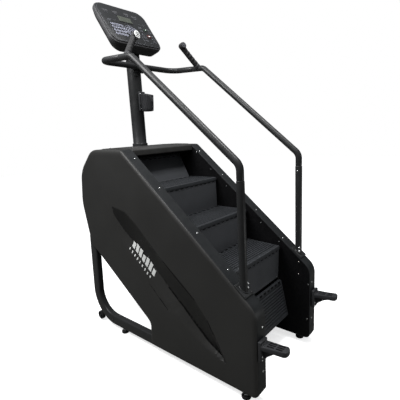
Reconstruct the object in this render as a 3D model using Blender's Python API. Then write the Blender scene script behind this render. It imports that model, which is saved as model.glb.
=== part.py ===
# Stair climber: a revolving-staircase exercise machine.
# Metres, +Z up. The user climbs towards +Y; +X is the user's right-hand side.
import math

import bmesh
import bpy
from mathutils import Matrix, Vector

# ---- driving dimensions -------------------------------------------------------
PANEL_X = 0.368          # outer face of the side panels
FLANGE_X = 0.278         # inner edge of the side panels' front flange
PANEL_T = 0.004          # wall of the side panels
INNER_T = 0.004          # inner wall plates
FRONT_Y = -0.650         # front edge of the panels
SLOPE = math.radians(40.2)
GAP = 0.0003             # clearance between pieces that touch

STEP_PITCH = 0.320       # along the incline
STEP_HALF_W = 0.262
TREAD_T = 0.022
RISER_T = 0.014
SPROCKET_R = 0.150
LOWER_AXIS = Vector((-0.304, 0.352))      # y, z of the lower shaft
SHAFT_R = 0.015

RAIL_X = 0.319           # handrails and their posts
TUBE_R = 0.0190          # handrail tube
POST_R = 0.0215          # lower post
BAR_Z = 1.849            # handlebar level at the mast
ELBOW_Y = 0.1500         # where the incline meets the handlebar run
ELBOW_Z = 1.826
BAR_REAR_Y = 0.4526
MAST_Y = 0.520
MAST_R = 0.048

BASE_X = 0.331           # base rails
BASE_W = 0.046
BASE_H = 0.070
RAIL_Z = 0.072

CONSOLE_W = 0.2165       # half width
CONSOLE_FOOT = Vector((0.4166, 1.9670))   # y, z of the datum below the face
CONSOLE_LEAN = math.radians(55.1)
CONSOLE_L = 0.3755
CONSOLE_T = 0.076
CONSOLE_RIM = 0.030      # depth of the straight rim; behind it the shell narrows

PEG_X = 0.325
PEG_Z = 0.352
WHEEL_R = 0.032

U = Vector((math.cos(SLOPE), math.sin(SLOPE)))       # up the incline (y, z)
N = Vector((-math.sin(SLOPE), math.cos(SLOPE)))      # out of the incline

for obj in list(bpy.data.objects):
    bpy.data.objects.remove(obj, do_unlink=True)

COLL = bpy.data.collections.new("stair_climber")
bpy.context.scene.collection.children.link(COLL)
CUT = bpy.data.collections.new("cutters")
bpy.context.scene.collection.children.link(CUT)


def material(name, rgb, rough, metal=0.0):
    m = bpy.data.materials.new(name)
    m.use_nodes = True
    p = m.node_tree.nodes["Principled BSDF"]
    p.inputs["Base Color"].default_value = (*rgb, 1.0)
    p.inputs["Roughness"].default_value = rough
    p.inputs["Metallic"].default_value = metal
    m.diffuse_color = (*rgb, 1.0)
    return m


BLACK = material("black_paint", (0.016, 0.017, 0.019), 0.34)
PANEL = material("black_panel", (0.020, 0.021, 0.024), 0.38)
DARK = material("dark_plastic", (0.028, 0.029, 0.031), 0.55)
TREAD = material("tread_plastic", (0.035, 0.036, 0.038), 0.60)
RUBBER = material("rubber", (0.018, 0.018, 0.019), 0.85)
STEEL = material("steel", (0.55, 0.56, 0.57), 0.32, 1.0)
LCD = material("display_glass", (0.16, 0.21, 0.15), 0.15)
PALE = material("pale_plastic", (0.72, 0.73, 0.72), 0.45)
RED = material("red_plastic", (0.55, 0.03, 0.025), 0.40)
GREEN = material("green_plastic", (0.05, 0.36, 0.10), 0.40)


def finish(bm, name, mat, coll=COLL):
    bmesh.ops.recalc_face_normals(bm, faces=bm.faces)
    me = bpy.data.meshes.new(name)
    bm.to_mesh(me)
    bm.free()
    me.materials.append(mat)
    ob = bpy.data.objects.new(name, me)
    coll.objects.link(ob)
    return ob


def place(ob, at, rot=(0.0, 0.0, 0.0)):
    ob.location = at
    ob.rotation_euler = rot
    return ob


def loft(bm, rings, cap=True):
    """Closed skin through rings of equal length."""
    loops = [[bm.verts.new(p) for p in ring] for ring in rings]
    count = len(loops[0])
    for a, b in zip(loops, loops[1:]):
        for i in range(count):
            j = (i + 1) % count
            bm.faces.new((a[i], a[j], b[j], b[i]))
    if cap:
        bm.faces.new(loops[0])
        bm.faces.new(loops[-1])
    return loops


def prism(name, outline, x0, x1, mat, chamfer=0.0):
    """Solid between x0 and x1 over a y, z outline."""
    bm = bmesh.new()
    if chamfer > 0.0:
        small = inset(outline, chamfer)
        rings = [(x0, small), (x0 + chamfer, outline), (x1 - chamfer, outline), (x1, small)]
    else:
        rings = [(x0, outline), (x1, outline)]
    loft(bm, [[(x, p[0], p[1]) for p in ring] for x, ring in rings])
    return finish(bm, name, mat)


def block(name, size, at, mat, rot=(0.0, 0.0, 0.0), bevel=0.0, segs=1):
    bm = bmesh.new()
    bmesh.ops.create_cube(bm, size=1.0)
    bmesh.ops.scale(bm, vec=size, verts=bm.verts)
    if bevel > 0.0:
        bmesh.ops.bevel(bm, geom=list(bm.edges), offset=bevel, segments=segs, profile=0.5,
                        affect="EDGES")
    return place(finish(bm, name, mat), at, rot)


def turned(name, profile, at, mat, axis="Z", count=24):
    """Solid of revolution. The profile is (radius, height) from bottom to top."""
    bm = bmesh.new()
    rings = []
    for r, h in profile:
        ring = []
        for i in range(count):
            a = 2 * math.pi * i / count
            c, s = r * math.cos(a), r * math.sin(a)
            ring.append({"Z": (c, s, h), "X": (h, c, s), "Y": (s, h, c)}[axis])
        rings.append(ring)
    loft(bm, rings)
    return place(finish(bm, name, mat), at)


def fillet(corners, seg=5):
    """Round the corners of a closed outline of (y, z, radius)."""
    out = []
    total = len(corners)
    for i, (y, z, r) in enumerate(corners):
        p = Vector((y, z))
        a = Vector(corners[i - 1][:2]) - p
        b = Vector(corners[(i + 1) % total][:2]) - p
        a.normalize()
        b.normalize()
        half = math.acos(max(-1.0, min(1.0, a.dot(b)))) / 2
        if r <= 0.0 or half > 1.56:
            out.append(p)
            continue
        reach = r / math.tan(half)
        centre = p + (a + b).normalized() * (r / math.sin(half))
        va = p + a * reach - centre
        vb = p + b * reach - centre
        turn = va.angle_signed(vb)
        for k in range(seg + 1):
            out.append(centre + rotated(va, -turn * k / seg))
    return out


def rotated(v, ang):
    c, s = math.cos(ang), math.sin(ang)
    return Vector((v[0] * c - v[1] * s, v[0] * s + v[1] * c))


def inset(outline, d):
    """Move a closed outline towards its inside by d."""
    pts = [Vector(p) for p in outline]
    total = len(pts)
    area = sum(pts[i - 1].x * pts[i].y - pts[i].x * pts[i - 1].y for i in range(total))
    side = 1.0 if area > 0 else -1.0
    out = []
    for i in range(total):
        a = (pts[i] - pts[i - 1]).normalized()
        b = (pts[(i + 1) % total] - pts[i]).normalized()
        na = Vector((-a.y, a.x)) * side
        nb = Vector((-b.y, b.x)) * side
        m = (na + nb).normalized()
        out.append(pts[i] + m * (d / max(0.35, m.dot(na))))
    return out


def rounded_path(points, radius, seg=5):
    """Fillet an open 3-D path."""
    pts = [Vector(p) for p in points]
    out = [pts[0]]
    for a, p, b in zip(pts, pts[1:], pts[2:]):
        u, v = (a - p).normalized(), (b - p).normalized()
        half = u.angle(v) / 2
        reach = min(radius / math.tan(half), 0.48 * (a - p).length, 0.48 * (b - p).length)
        r = reach * math.tan(half)
        centre = p + (u + v).normalized() * (r / math.sin(half))
        va, vb = p + u * reach - centre, p + v * reach - centre
        axis = va.cross(vb).normalized()
        full = va.angle(vb)
        for k in range(seg + 1):
            out.append(centre + Matrix.Rotation(full * k / seg, 3, axis) @ va)
    out.append(pts[-1])
    return out


def sweep(name, path, section, mat, up=(1.0, 0.0, 0.0)):
    """Sweep a closed (a, b) section along a path; a lies along `up`."""
    bm = bmesh.new()
    rings = []
    last = Vector(up)
    for i, p in enumerate(path):
        fwd = Vector(path[min(i + 1, len(path) - 1)]) - Vector(path[max(i - 1, 0)])
        fwd.normalize()
        side = (last - fwd * last.dot(fwd)).normalized()
        last = side
        other = fwd.cross(side)
        rings.append([Vector(p) + side * a + other * b for a, b in section])
    loft(bm, rings)
    return finish(bm, name, mat)


def circle(r, count=12):
    return [(r * math.cos(2 * math.pi * i / count), r * math.sin(2 * math.pi * i / count))
            for i in range(count)]


def carve(ob, cutter):
    """Subtract a cutter from an object."""
    for c in list(cutter.users_collection):
        c.objects.unlink(cutter)
    CUT.objects.link(cutter)
    cutter.hide_render = True
    cutter.display_type = "WIRE"
    m = ob.modifiers.new("cut_" + cutter.name, "BOOLEAN")
    m.operation = "DIFFERENCE"
    m.solver = "EXACT"
    m.object = cutter


def fuse(ob, other):
    """Join another solid onto an object."""
    for c in list(other.users_collection):
        c.objects.unlink(other)
    CUT.objects.link(other)
    other.hide_render = True
    other.display_type = "WIRE"
    m = ob.modifiers.new("join_" + other.name, "BOOLEAN")
    m.operation = "UNION"
    m.solver = "EXACT"
    m.object = other


def both(fn):
    """Build a piece on each side of the machine."""
    return [fn("left", -1.0), fn("right", 1.0)]


# ---- side panels and inner walls ----------------------------------------------------
shoulder_z = 1.303 - (0.275 - FRONT_Y) * math.tan(SLOPE)
OUTLINE = fillet([
    (FRONT_Y, 0.045, 0.034), (0.150, 0.045, 0.030), (0.138, 0.205, 0.050),
    (0.728, 0.640, 0.060), (0.786, 0.940, 0.260), (0.752, 1.165, 0.180),
    (0.600, 1.310, 0.120), (0.275, 1.303, 0.034), (FRONT_Y, shoulder_z, 0.100)], 6)


def side_panel(side, s):
    """Pressed side cover: a shallow dish with a rolled edge and a deep flange."""
    walls = [(0.0, 0.016), (0.005, 0.006), (0.016, 0.0), (PANEL_X - FLANGE_X, 0.0)]
    inner = [(PANEL_X - FLANGE_X, PANEL_T), (0.020, PANEL_T), (PANEL_T, 0.020)]
    bm = bmesh.new()
    rings = []
    for depth, d in walls + inner:
        ring = inset(OUTLINE, d) if d > 0.0 else OUTLINE
        rings.append([(s * (PANEL_X - depth), p[0], p[1]) for p in ring])
    loft(bm, rings)
    return finish(bm, side + "_side_panel", PANEL)


both(side_panel)


def inner_wall(side, s):
    ring = inset(OUTLINE, PANEL_T + GAP)
    x0 = s * (FLANGE_X + 0.0002)
    x1 = s * (FLANGE_X + 0.0002 + INNER_T)
    return prism(side + "_inner_wall", ring, min(x0, x1), max(x0, x1), BLACK)


both(inner_wall)

# ---- covers between the side panels ----------------------------------------------------
W_IN = FLANGE_X - 0.0006
top_line = [(0.262, 1.262), (0.262, 1.294), (0.276, 1.308), (0.420, 1.313), (0.600, 1.311),
            (0.700, 1.266), (0.772, 1.165), (0.760, 1.160), (0.690, 1.253), (0.596, 1.299),
            (0.420, 1.301), (0.286, 1.297), (0.276, 1.288), (0.276, 1.262)]
top_cover = prism("top_cover", top_line, -W_IN, W_IN, PANEL, 0.0)
rear_line = [(0.7725, 1.1640), (0.800, 1.000), (0.798, 0.900), (0.744, 0.660), (0.730, 0.636),
             (0.720, 0.642), (0.732, 0.664), (0.786, 0.900), (0.788, 1.000), (0.7605, 1.1590)]
prism("rear_cover", rear_line, -W_IN, W_IN, PANEL, 0.0)

# ---- base frames ---------------------------------------------------------------------------
SEC = [(-BASE_W / 2, -BASE_H / 2 + 0.008), (-BASE_W / 2 + 0.008, -BASE_H / 2),
       (BASE_W / 2 - 0.008, -BASE_H / 2), (BASE_W / 2, -BASE_H / 2 + 0.008),
       (BASE_W / 2, BASE_H / 2 - 0.008), (BASE_W / 2 - 0.008, BASE_H / 2),
       (-BASE_W / 2 + 0.008, BASE_H / 2), (-BASE_W / 2, BASE_H / 2 - 0.008)]


def base_frame(side, s):
    """Bent rectangular tube: a floor rail that turns up into the rear leg."""
    x = s * BASE_X
    path = rounded_path([(x, -0.600, RAIL_Z), (x, 0.760, RAIL_Z), (x, 0.722, 0.688)], 0.190, 8)
    return sweep(side + "_base_frame", path, SEC, BLACK)


both(base_frame)


def panel_slots(side, s):
    """Openings in the panel's flange for the rail and the leg."""
    for tag, y0, y1, z0, z1 in (("rail", -0.620, 0.200, -0.010, RAIL_Z + BASE_H / 2 + 0.0015),
                                ("leg", 0.600, 0.850, 0.500, 0.6905)):
        slot = block(side + "_slot_" + tag, (BASE_W + 0.003, y1 - y0, z1 - z0),
                     (s * BASE_X, (y0 + y1) / 2, (z0 + z1) / 2), DARK)
        carve(bpy.data.objects[side + "_side_panel"], slot)


both(panel_slots)

# ---- cross members ---------------------------------------------------------------------------
CROSS_W = 2 * (BASE_X - BASE_W / 2 - GAP)
CROSS_Y = (("front_cross_member", -0.180), ("rear_cross_member", 0.080))
for name, y in CROSS_Y:
    block(name, (CROSS_W, 0.060, 0.040), (0, y, RAIL_Z), BLACK, bevel=0.004)
for side, s in (("left", -1.0), ("right", 1.0)):
    for name, y in CROSS_Y:
        notch = block(side + "_notch_" + name, (0.040, 0.061, 0.041), (s * 0.280, y, RAIL_Z), DARK)
        carve(bpy.data.objects[side + "_inner_wall"], notch)
block("upper_cross_beam", (2 * FLANGE_X - 0.0012, 0.090, 0.050), (0, MAST_Y, 1.250), BLACK,
      bevel=0.004)

# ---- mast ------------------------------------------------------------------------------------
def mast():
    """Round column with a foot flange; its top is cut parallel to the console's back."""
    face_z = CONSOLE_FOOT.y + (MAST_Y - CONSOLE_FOOT.x) * math.tan(CONSOLE_LEAN)
    top = face_z - CONSOLE_T / math.cos(CONSOLE_LEAN) - 0.0006
    bm = bmesh.new()
    rings = []
    for r, z, lean in ((0.070, 1.2754, 0.0), (0.070, 1.2940, 0.0), (MAST_R, 1.2940, 0.0),
                       (MAST_R, 1.900, 0.0), (MAST_R, top, math.tan(CONSOLE_LEAN))):
        rings.append([(a, b, z + b * lean) for a, b in circle(r, 24)])
    loft(bm, rings)
    return place(finish(bm, "mast", BLACK), (0, MAST_Y, 0))


mast()
carve(top_cover, turned("mast_hole", [(MAST_R + 0.004, 1.24), (MAST_R + 0.004, 1.36)],
                        (0, MAST_Y, 0), DARK))

# ---- handrails -------------------------------------------------------------------------------
KNEE_Z = 1.225
POST_Y = -0.556
POST_Z = 1.303 - (0.275 - POST_Y) * math.tan(SLOPE) + 0.0058
POST_TOP = POST_Z + 0.5467


RUN = (Vector((0.0, BAR_REAR_Y, BAR_Z)) - Vector((0.0, ELBOW_Y, ELBOW_Z))).normalized()
JOINT = Vector((0.0, ELBOW_Y, ELBOW_Z)) + RUN * 0.0970     # handrail and handlebar meet here


def handrail(side, s):
    """Inclined tube from the top of the post up to the handlebar."""
    out = Vector((s * RAIL_X, 0.0, 0.0))
    path = rounded_path([(s * RAIL_X, POST_Y, POST_TOP + GAP), (s * RAIL_X, POST_Y, KNEE_Z),
                         (s * RAIL_X, ELBOW_Y, ELBOW_Z), JOINT + out], 0.060, 5)
    return sweep(side + "_handrail", path, circle(TUBE_R), BLACK)


both(handrail)


def post(side, s):
    """Upright post; its foot plate lies on the panel's inclined flange."""
    x = s * RAIL_X
    tan = math.tan(SLOPE)
    bm = bmesh.new()
    rings = []
    for r, h, lean in ((POST_R, 0.004, tan), (POST_R, 0.543, 0.0), (TUBE_R, 0.5467, 0.0)):
        rings.append([(a, b, h + b * lean) for a, b in circle(r, 16)])
    loft(bm, rings)
    ob = place(finish(bm, side + "_handrail_post", BLACK), (x, POST_Y, POST_Z))
    plate = block(side + "_foot_plate", (0.076, 0.084, 0.008), (x, POST_Y, POST_Z), BLACK,
                  (SLOPE, 0, 0), 0.002)
    fuse(ob, plate)
    return ob


both(post)
start = JOINT + RUN * GAP
bar_path = rounded_path([(-RAIL_X, start.y, start.z), (-RAIL_X, BAR_REAR_Y, BAR_Z),
                         (RAIL_X, BAR_REAR_Y, BAR_Z), (RAIL_X, start.y, start.z)], 0.078, 7)
sweep("handlebar", bar_path, circle(TUBE_R), BLACK, (0, 0, 1))


# ---- horn grips on the handlebar -------------------------------------------------------------
HORN_FOOT = Vector((0.319, 0.190, 1.8290))
HORN_TIP = Vector((0.193, 0.246, 1.984))
HORN_R = 0.0195
HEAD_R = 0.0245            # round head at the grip's tip


def horn_axis(s):
    """Foot, direction, length and user-facing normal of a grip."""
    foot = Vector((s * HORN_FOOT.x, HORN_FOOT.y, HORN_FOOT.z))
    tip = Vector((s * HORN_TIP.x, HORN_TIP.y, HORN_TIP.z))
    d = (tip - foot).normalized()
    out = Vector((0.0, -1.0, 0.0))
    out = (out - d * out.dot(d)).normalized()
    return foot, d, (tip - foot).length, out


def horn(side, s):
    """Upright grip that leans inwards from the handlebar's front end."""
    foot, d, span, out = horn_axis(s)
    turn = d.to_track_quat("Z", "Y").to_matrix()
    bm = bmesh.new()
    rings = []
    for t, r in ((0.0280, 0.0150), (0.036, HORN_R), (0.060, HORN_R), (span - 0.020, HORN_R),
                 (span - 0.006, HORN_R - 0.004), (span, 0.008)):
        rings.append([foot + d * t + turn @ Vector((a, b, 0)) for a, b in circle(r, 16)])
    loft(bm, rings)
    grip = finish(bm, side + "_horn_grip", RUBBER)
    head = turned(side + "_horn_head", [(HEAD_R - 0.003, -0.010), (HEAD_R, -0.006), (HEAD_R, 0.010),
                                        (HEAD_R - 0.003, 0.013)],
                  foot + d * (span - HEAD_R) + out * 0.0080, RUBBER, "Z", 24)
    head.rotation_euler = out.to_track_quat("Z", "Y").to_euler()
    fuse(grip, head)
    return grip


both(horn)


def horn_button(side, s):
    """Round push button on the grip's head, facing the user."""
    foot, d, span, out = horn_axis(s)
    at = foot + d * (span - HEAD_R) + out * (0.0210 + 0.0020)
    ob = turned(side + "_grip_button", [(HEAD_R - 0.004, 0.0), (HEAD_R - 0.004, 0.003),
                                        (HEAD_R - 0.006, 0.005)], at,
                PALE if s < 0 else DARK, "Z", 24)
    ob.rotation_euler = out.to_track_quat("Z", "Y").to_euler()
    return ob


both(horn_button)

# ---- cup holder -------------------------------------------------------------------------------
CUP = Vector((0.0, 0.404, 1.548))
cup = turned("cup_holder", [(0.036, 0.0), (0.040, 0.004), (0.0455, 0.122), (0.0435, 0.125),
                            (0.0415, 0.122), (0.0365, 0.006)], CUP, DARK, "Z", 24)
bracket = block("cup_bracket", (0.050, 0.0265, 0.130), (0, 0.4582, 1.620), DARK, bevel=0.003)
fuse(cup, bracket)

# ---- console -------------------------------------------------------------------------------------
LEAN = (CONSOLE_LEAN, 0.0, 0.0)
FOOT = Vector((0.0, CONSOLE_FOOT.x, CONSOLE_FOOT.y))
FACE_M = Matrix.Rotation(CONSOLE_LEAN, 3, "X")


def shell_outline(depth):
    """Rounded outline of the console shell at a depth below its face."""
    k = max(0.0, (depth - CONSOLE_RIM) / (CONSOLE_T - CONSOLE_RIM))
    half, low, high = CONSOLE_W - 0.039 * k, 0.0155 - 0.0045 * k, CONSOLE_L - 0.004 * k
    return fillet([(-half, low, 0.058), (half, low, 0.058), (half, high, 0.077),
                   (-half, high, 0.077)], 5)


SHAPE = shell_outline(0.0)


def slab(name, levels, mat):
    """Stack of outlines parallel to the console face, as (z, outline)."""
    bm = bmesh.new()
    loft(bm, [[(p[0], p[1], z) for p in outline] for z, outline in levels])
    return place(finish(bm, name, mat), FOOT, LEAN)


def on_face(x, y, z):
    return FOOT + FACE_M @ Vector((x, y, z))


BACK = shell_outline(CONSOLE_T)
housing = slab("console_housing", [(-CONSOLE_T, inset(BACK, 0.006)), (-CONSOLE_T + 0.005, BACK),
                                   (-CONSOLE_RIM, SHAPE), (-0.014, SHAPE),
                                   (-0.006, inset(SHAPE, 0.003))], BLACK)
FACE_SHAPE = inset(SHAPE, 0.010)
face = slab("console_face", [(-0.0057, FACE_SHAPE), (-0.001, FACE_SHAPE),
                             (0.0, inset(FACE_SHAPE, 0.001))], DARK)
block("display", (0.108, 0.048, 0.0030), on_face(-0.008, 0.2455, 0.0018), LCD, LEAN, 0.0008)
KEYS = (("start_key", 0.140, 0.1865, 0.0110, GREEN), ("stop_key", 0.140, 0.1265, 0.0165, RED))
for key, kx, ky, kr, mat in KEYS:
    hole = turned(key + "_hole", [(kr + 0.0006, -0.012), (kr + 0.0006, 0.010)],
                  on_face(kx, ky, 0.0), DARK, "Z", 24)
    hole.rotation_euler = LEAN
    carve(face, hole)
    pad = turned(key, [(kr, -0.0036), (kr, 0.0030), (kr - 0.0015, 0.0045)],
                 on_face(kx, ky, 0.0), mat, "Z", 24)
    pad.rotation_euler = LEAN

# ---- foot pegs ----------------------------------------------------------------------------------
PEG_TIP_Y = -0.800


def peg(side, s):
    """Tapered mounting step on a bracket, with a gusset below."""
    x = s * PEG_X
    plan = fillet([(-0.033, -0.6680, 0.0), (-0.027, PEG_TIP_Y, 0.022), (0.027, PEG_TIP_Y, 0.022),
                   (0.033, -0.6680, 0.0)], 4)
    bm = bmesh.new()
    rings = [[(p[0] * k, p[1], z + (p[1] + 0.668) * lean) for p in plan]
             for z, k, lean in ((PEG_Z - 0.020, 0.94, -0.06), (PEG_Z - 0.012, 1.0, -0.06),
                                (PEG_Z + 0.004, 1.0, -0.10), (PEG_Z + 0.006, 0.92, -0.10))]
    loft(bm, rings)
    ob = place(finish(bm, side + "_foot_peg", DARK), (x, 0, 0))
    back = block(side + "_peg_bracket", (0.066, 0.020, 0.112), (x, -0.6604, 0.318), DARK,
                 bevel=0.003)
    web = prism(side + "_peg_web", [(-0.664, 0.275), (-0.664, 0.345), (-0.784, 0.349),
                                    (-0.776, 0.340)], x - 0.004, x + 0.004, DARK)
    fuse(ob, back)
    fuse(ob, web)
    return ob


both(peg)

# ---- revolving stairs -----------------------------------------------------------------------------
COUNT = 9
STRAIGHT = (COUNT * STEP_PITCH - 2 * math.pi * SPROCKET_R) / 2
UPPER = LOWER_AXIS + U * STRAIGHT
TREAD_RUN = STEP_PITCH * math.cos(SLOPE)
RISE = STEP_PITCH * math.sin(SLOPE)
FIRST_PIN = 0.896


def pin(s):
    """Point of the chain loop at a travel s from the foot of the upper run."""
    half = math.pi * SPROCKET_R
    s = s % (2 * STRAIGHT + 2 * half)
    if s < STRAIGHT:
        return LOWER_AXIS + N * SPROCKET_R + U * s
    s -= STRAIGHT
    if s < half:
        return UPPER + rotated(N, -s / SPROCKET_R) * SPROCKET_R
    s -= half
    if s < STRAIGHT:
        return UPPER - N * SPROCKET_R - U * s
    s -= STRAIGHT
    return LOWER_AXIS + rotated(-N, -s / SPROCKET_R) * SPROCKET_R


def plate_outline(a, b, t, trim_a, trim_b):
    """Strip from a to b; it is t thick to the left of the line, or to the right if t < 0."""
    d = (b - a).normalized()
    out = Vector((d.y, -d.x)) if t < 0 else Vector((-d.y, d.x))
    t = abs(t)
    a, b = a + d * trim_a, b - d * trim_b
    c = 0.003
    return [a, b, b + out * (t - c), b + out * t - d * c, a + out * t + d * c, a + out * (t - c)]


def shift(ob, origin):
    """Move an object's origin to a point without moving its shape."""
    ob.data.transform(Matrix.Translation(-origin))
    ob.location = origin


for k in range(COUNT):
    rear = pin(FIRST_PIN - (k - 1) * STEP_PITCH)
    low = pin(FIRST_PIN - k * STEP_PITCH)
    base = rear - low
    reach = base.length
    along = (RISE ** 2 - TREAD_RUN ** 2 + reach ** 2) / (2 * reach)
    high = math.sqrt(RISE ** 2 - along ** 2)
    e = base / reach
    nose = low + e * along + Vector((-e.y, e.x)) * high
    origin = rear if k in (1, 2, 3, 5, 6, 7) else (UPPER if k in (0, 8) else LOWER_AXIS)
    pivot = Vector((0.0, origin.x, origin.y))
    tread = prism("tread_%d" % (k + 1),
                  plate_outline(nose, rear, TREAD_T, -0.004, 0.008), -STEP_HALF_W, STEP_HALF_W,
                  TREAD)
    shift(tread, pivot)
    corner = (low - nose).angle(rear - nose)
    trim = 0.0004 + max(0.0, RISER_T / math.tan(corner))
    riser = prism("riser_%d" % (k + 1),
                  plate_outline(low, nose, -RISER_T, 0.010, trim), -STEP_HALF_W,
                  STEP_HALF_W, TREAD)
    shift(riser, pivot)


# ---- shafts, chains and brake --------------------------------------------------------------------
def shaft(name, centre, x1, extra):
    """Shaft with a sprocket disc near each end."""
    profile = [(SHAFT_R, -0.2770), (SHAFT_R, -0.2730), (0.134, -0.2730), (0.134, -0.2670),
               (SHAFT_R, -0.2670), (SHAFT_R, 0.2670), (0.134, 0.2670), (0.134, 0.2730),
               (SHAFT_R, 0.2730)] + extra + [(SHAFT_R, x1)]
    return turned(name, profile, (0.0, centre.x, centre.y), STEEL, "X", 28)


shaft("lower_shaft", LOWER_AXIS, 0.2770, [])
shaft("upper_shaft", UPPER, 0.336,
      [(SHAFT_R, 0.302), (0.100, 0.302), (0.100, 0.322), (SHAFT_R, 0.322)])
BRAKE = LOWER_AXIS + U * 0.46
turned("brake_housing", [(0.072, 0.080), (0.072, 0.2779), (0.0105, 0.2779), (0.0105, 0.200)],
       (0.0, BRAKE.x, BRAKE.y), DARK, "X", 24)
turned("flywheel", [(0.0090, 0.210), (0.0090, 0.290), (0.020, 0.290), (0.020, 0.312),
                    (0.088, 0.312), (0.088, 0.334), (0.0090, 0.334), (0.0090, 0.342)],
       (0.0, BRAKE.x, BRAKE.y), STEEL, "X", 28)
for name, centre, r in (("shaft_hole", UPPER, 0.017), ("brake_hole", BRAKE, 0.0105)):
    hole = turned(name, [(r, 0.26), (r, 0.30)], (0.0, centre.x, centre.y), DARK, "X", 24)
    carve(bpy.data.objects["right_inner_wall"], hole)


def chain(side, s):
    """Closed roller-chain loop round both sprockets."""
    x0, x1 = s * 0.2665, s * 0.2735
    pts = []
    for c, sign in ((UPPER, 1), (LOWER_AXIS, -1)):
        for i in range(13):
            pts.append((c, rotated(N * sign, -math.pi * i / 12)))
    bm = bmesh.new()
    rings = []
    for r, x in ((0.1495, x0), (0.1495, x1), (0.1370, x1), (0.1370, x0)):
        rings.append([(x, c.x + d.x * r, c.y + d.y * r) for c, d in pts])
    loft(bm, rings + [rings[0]], cap=False)
    bmesh.ops.remove_doubles(bm, verts=bm.verts, dist=0.00001)
    return finish(bm, side + "_chain", STEEL)


both(chain)

# ---- transport wheels, feet, power inlet ----------------------------------------------------------
WHEEL = Vector((0.754, 0.0450))


def wheel(side, s):
    x = s * BASE_X
    ob = turned(side + "_wheel", [(0.027, -0.013), (WHEEL_R, -0.008), (WHEEL_R, 0.008),
                                  (0.027, 0.013)], (x, WHEEL.x, WHEEL.y), RUBBER, "X", 24)
    bore = turned(side + "_wheel_bore", [(0.0062, -0.03), (0.0062, 0.03)],
                  (x, WHEEL.x, WHEEL.y), DARK, "X", 16)
    carve(ob, bore)
    lug = prism(side + "_lug", [(0.640, 0.060), (0.746, 0.034), (0.760, 0.034), (0.766, 0.046),
                                (0.762, 0.058), (0.715, 0.120), (0.660, 0.120)],
                min(x - s * 0.0225, x - s * 0.0165), max(x - s * 0.0225, x - s * 0.0165), BLACK)
    axle = turned(side + "_axle", [(0.0060, -0.020), (0.0060, 0.016)] if s > 0 else
                  [(0.0060, -0.016), (0.0060, 0.020)], (x, WHEEL.x, WHEEL.y), BLACK, "X", 16)
    frame = bpy.data.objects[side + "_base_frame"]
    fuse(frame, lug)
    fuse(frame, axle)
    return ob


both(wheel)
for side, s in (("left", -1.0), ("right", 1.0)):
    for end, y in (("front", -0.560), ("rear", 0.466)):
        turned(side + "_" + end + "_foot", [(0.026, 0.0), (0.026, 0.012), (0.016, 0.018),
                                            (0.016, 0.0367)], (s * BASE_X, y, 0), RUBBER, "Z", 20)
block("power_inlet", (0.090, 0.012, 0.050), (0.120, 0.78176, 0.79858), DARK,
      (math.radians(-12.7), 0, 0), 0.002)
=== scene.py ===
from math import acos, atan, atan2, cos, inf, pi, radians, sin, sqrt, tan

import bmesh
import bpy
from mathutils import Matrix, Vector
from mathutils.geometry import delaunay_2d_cdt


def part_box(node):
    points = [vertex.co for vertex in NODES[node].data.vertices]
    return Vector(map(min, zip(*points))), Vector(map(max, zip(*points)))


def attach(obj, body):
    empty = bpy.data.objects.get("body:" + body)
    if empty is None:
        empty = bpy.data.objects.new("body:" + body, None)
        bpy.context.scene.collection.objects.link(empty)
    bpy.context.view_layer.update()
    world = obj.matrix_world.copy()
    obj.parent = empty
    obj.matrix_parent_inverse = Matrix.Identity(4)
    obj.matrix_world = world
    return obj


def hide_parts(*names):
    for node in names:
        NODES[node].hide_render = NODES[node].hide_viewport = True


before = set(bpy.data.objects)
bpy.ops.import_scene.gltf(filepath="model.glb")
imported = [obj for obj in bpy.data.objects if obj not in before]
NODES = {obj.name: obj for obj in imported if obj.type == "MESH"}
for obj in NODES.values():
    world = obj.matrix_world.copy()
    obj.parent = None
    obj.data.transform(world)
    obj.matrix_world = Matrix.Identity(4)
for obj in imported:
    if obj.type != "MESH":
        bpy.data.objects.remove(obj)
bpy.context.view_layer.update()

# ---- sizes, from the frame and the machine's own dimensions
PANEL_X = -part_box("left_side_panel")[0][0]
FLANGE_X = -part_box("left_side_panel")[1][0]
FRONT_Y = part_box("left_side_panel")[0][1]
RAIL_X = .319
TUBE_R = .019
POST_R = .0203
BAR_Z = 1.849
ELBOW = Vector((0, .15, 1.826))
BAR_REAR_Y = .4526
MAST_Y = .52
MAST_R = .048
BASE_X = .331
BASE_W, BASE_H, RAIL_Z = .046, .07, .072
SLOPE = radians(40.2)
U = Vector((cos(SLOPE), sin(SLOPE)))
N = Vector((-sin(SLOPE), cos(SLOPE)))
CORNER = Vector((.275, 1.303))          # y, z where the incline meets the top
SIDES = (("left", -1.0), ("right", 1.0))

STEP_PITCH = .32
STEP_HALF_W = .262
TREAD_T, RISER_T = .022, .014
SPROCKET_R = .15
LOWER_AXIS = Vector((-.304, .352))
STEPS = 9
FIRST_PIN = .896
STRAIGHT = (STEPS * STEP_PITCH - 2 * pi * SPROCKET_R) / 2
UPPER = LOWER_AXIS + U * STRAIGHT

CONSOLE_W, CONSOLE_L, CONSOLE_T, CONSOLE_RIM = .2165, .3755, .076, .03
CONSOLE_LEAN = radians(55.1)
FOOT = Vector((0, .4166, 1.967))
FACE_M = Matrix.Rotation(CONSOLE_LEAN, 4, "X")


# ---- materials
def place(name, data):
    """New object in the scene."""
    ob = bpy.data.objects.new(name, data)
    bpy.context.scene.collection.objects.link(ob)
    return ob


def feed(nt, socket, value):
    """Link a socket to another one, or set its value."""
    if isinstance(value, bpy.types.NodeSocket):
        nt.links.new(value, socket)
    else:
        socket.default_value = (*value, 1.0) if isinstance(value, tuple) else value


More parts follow.
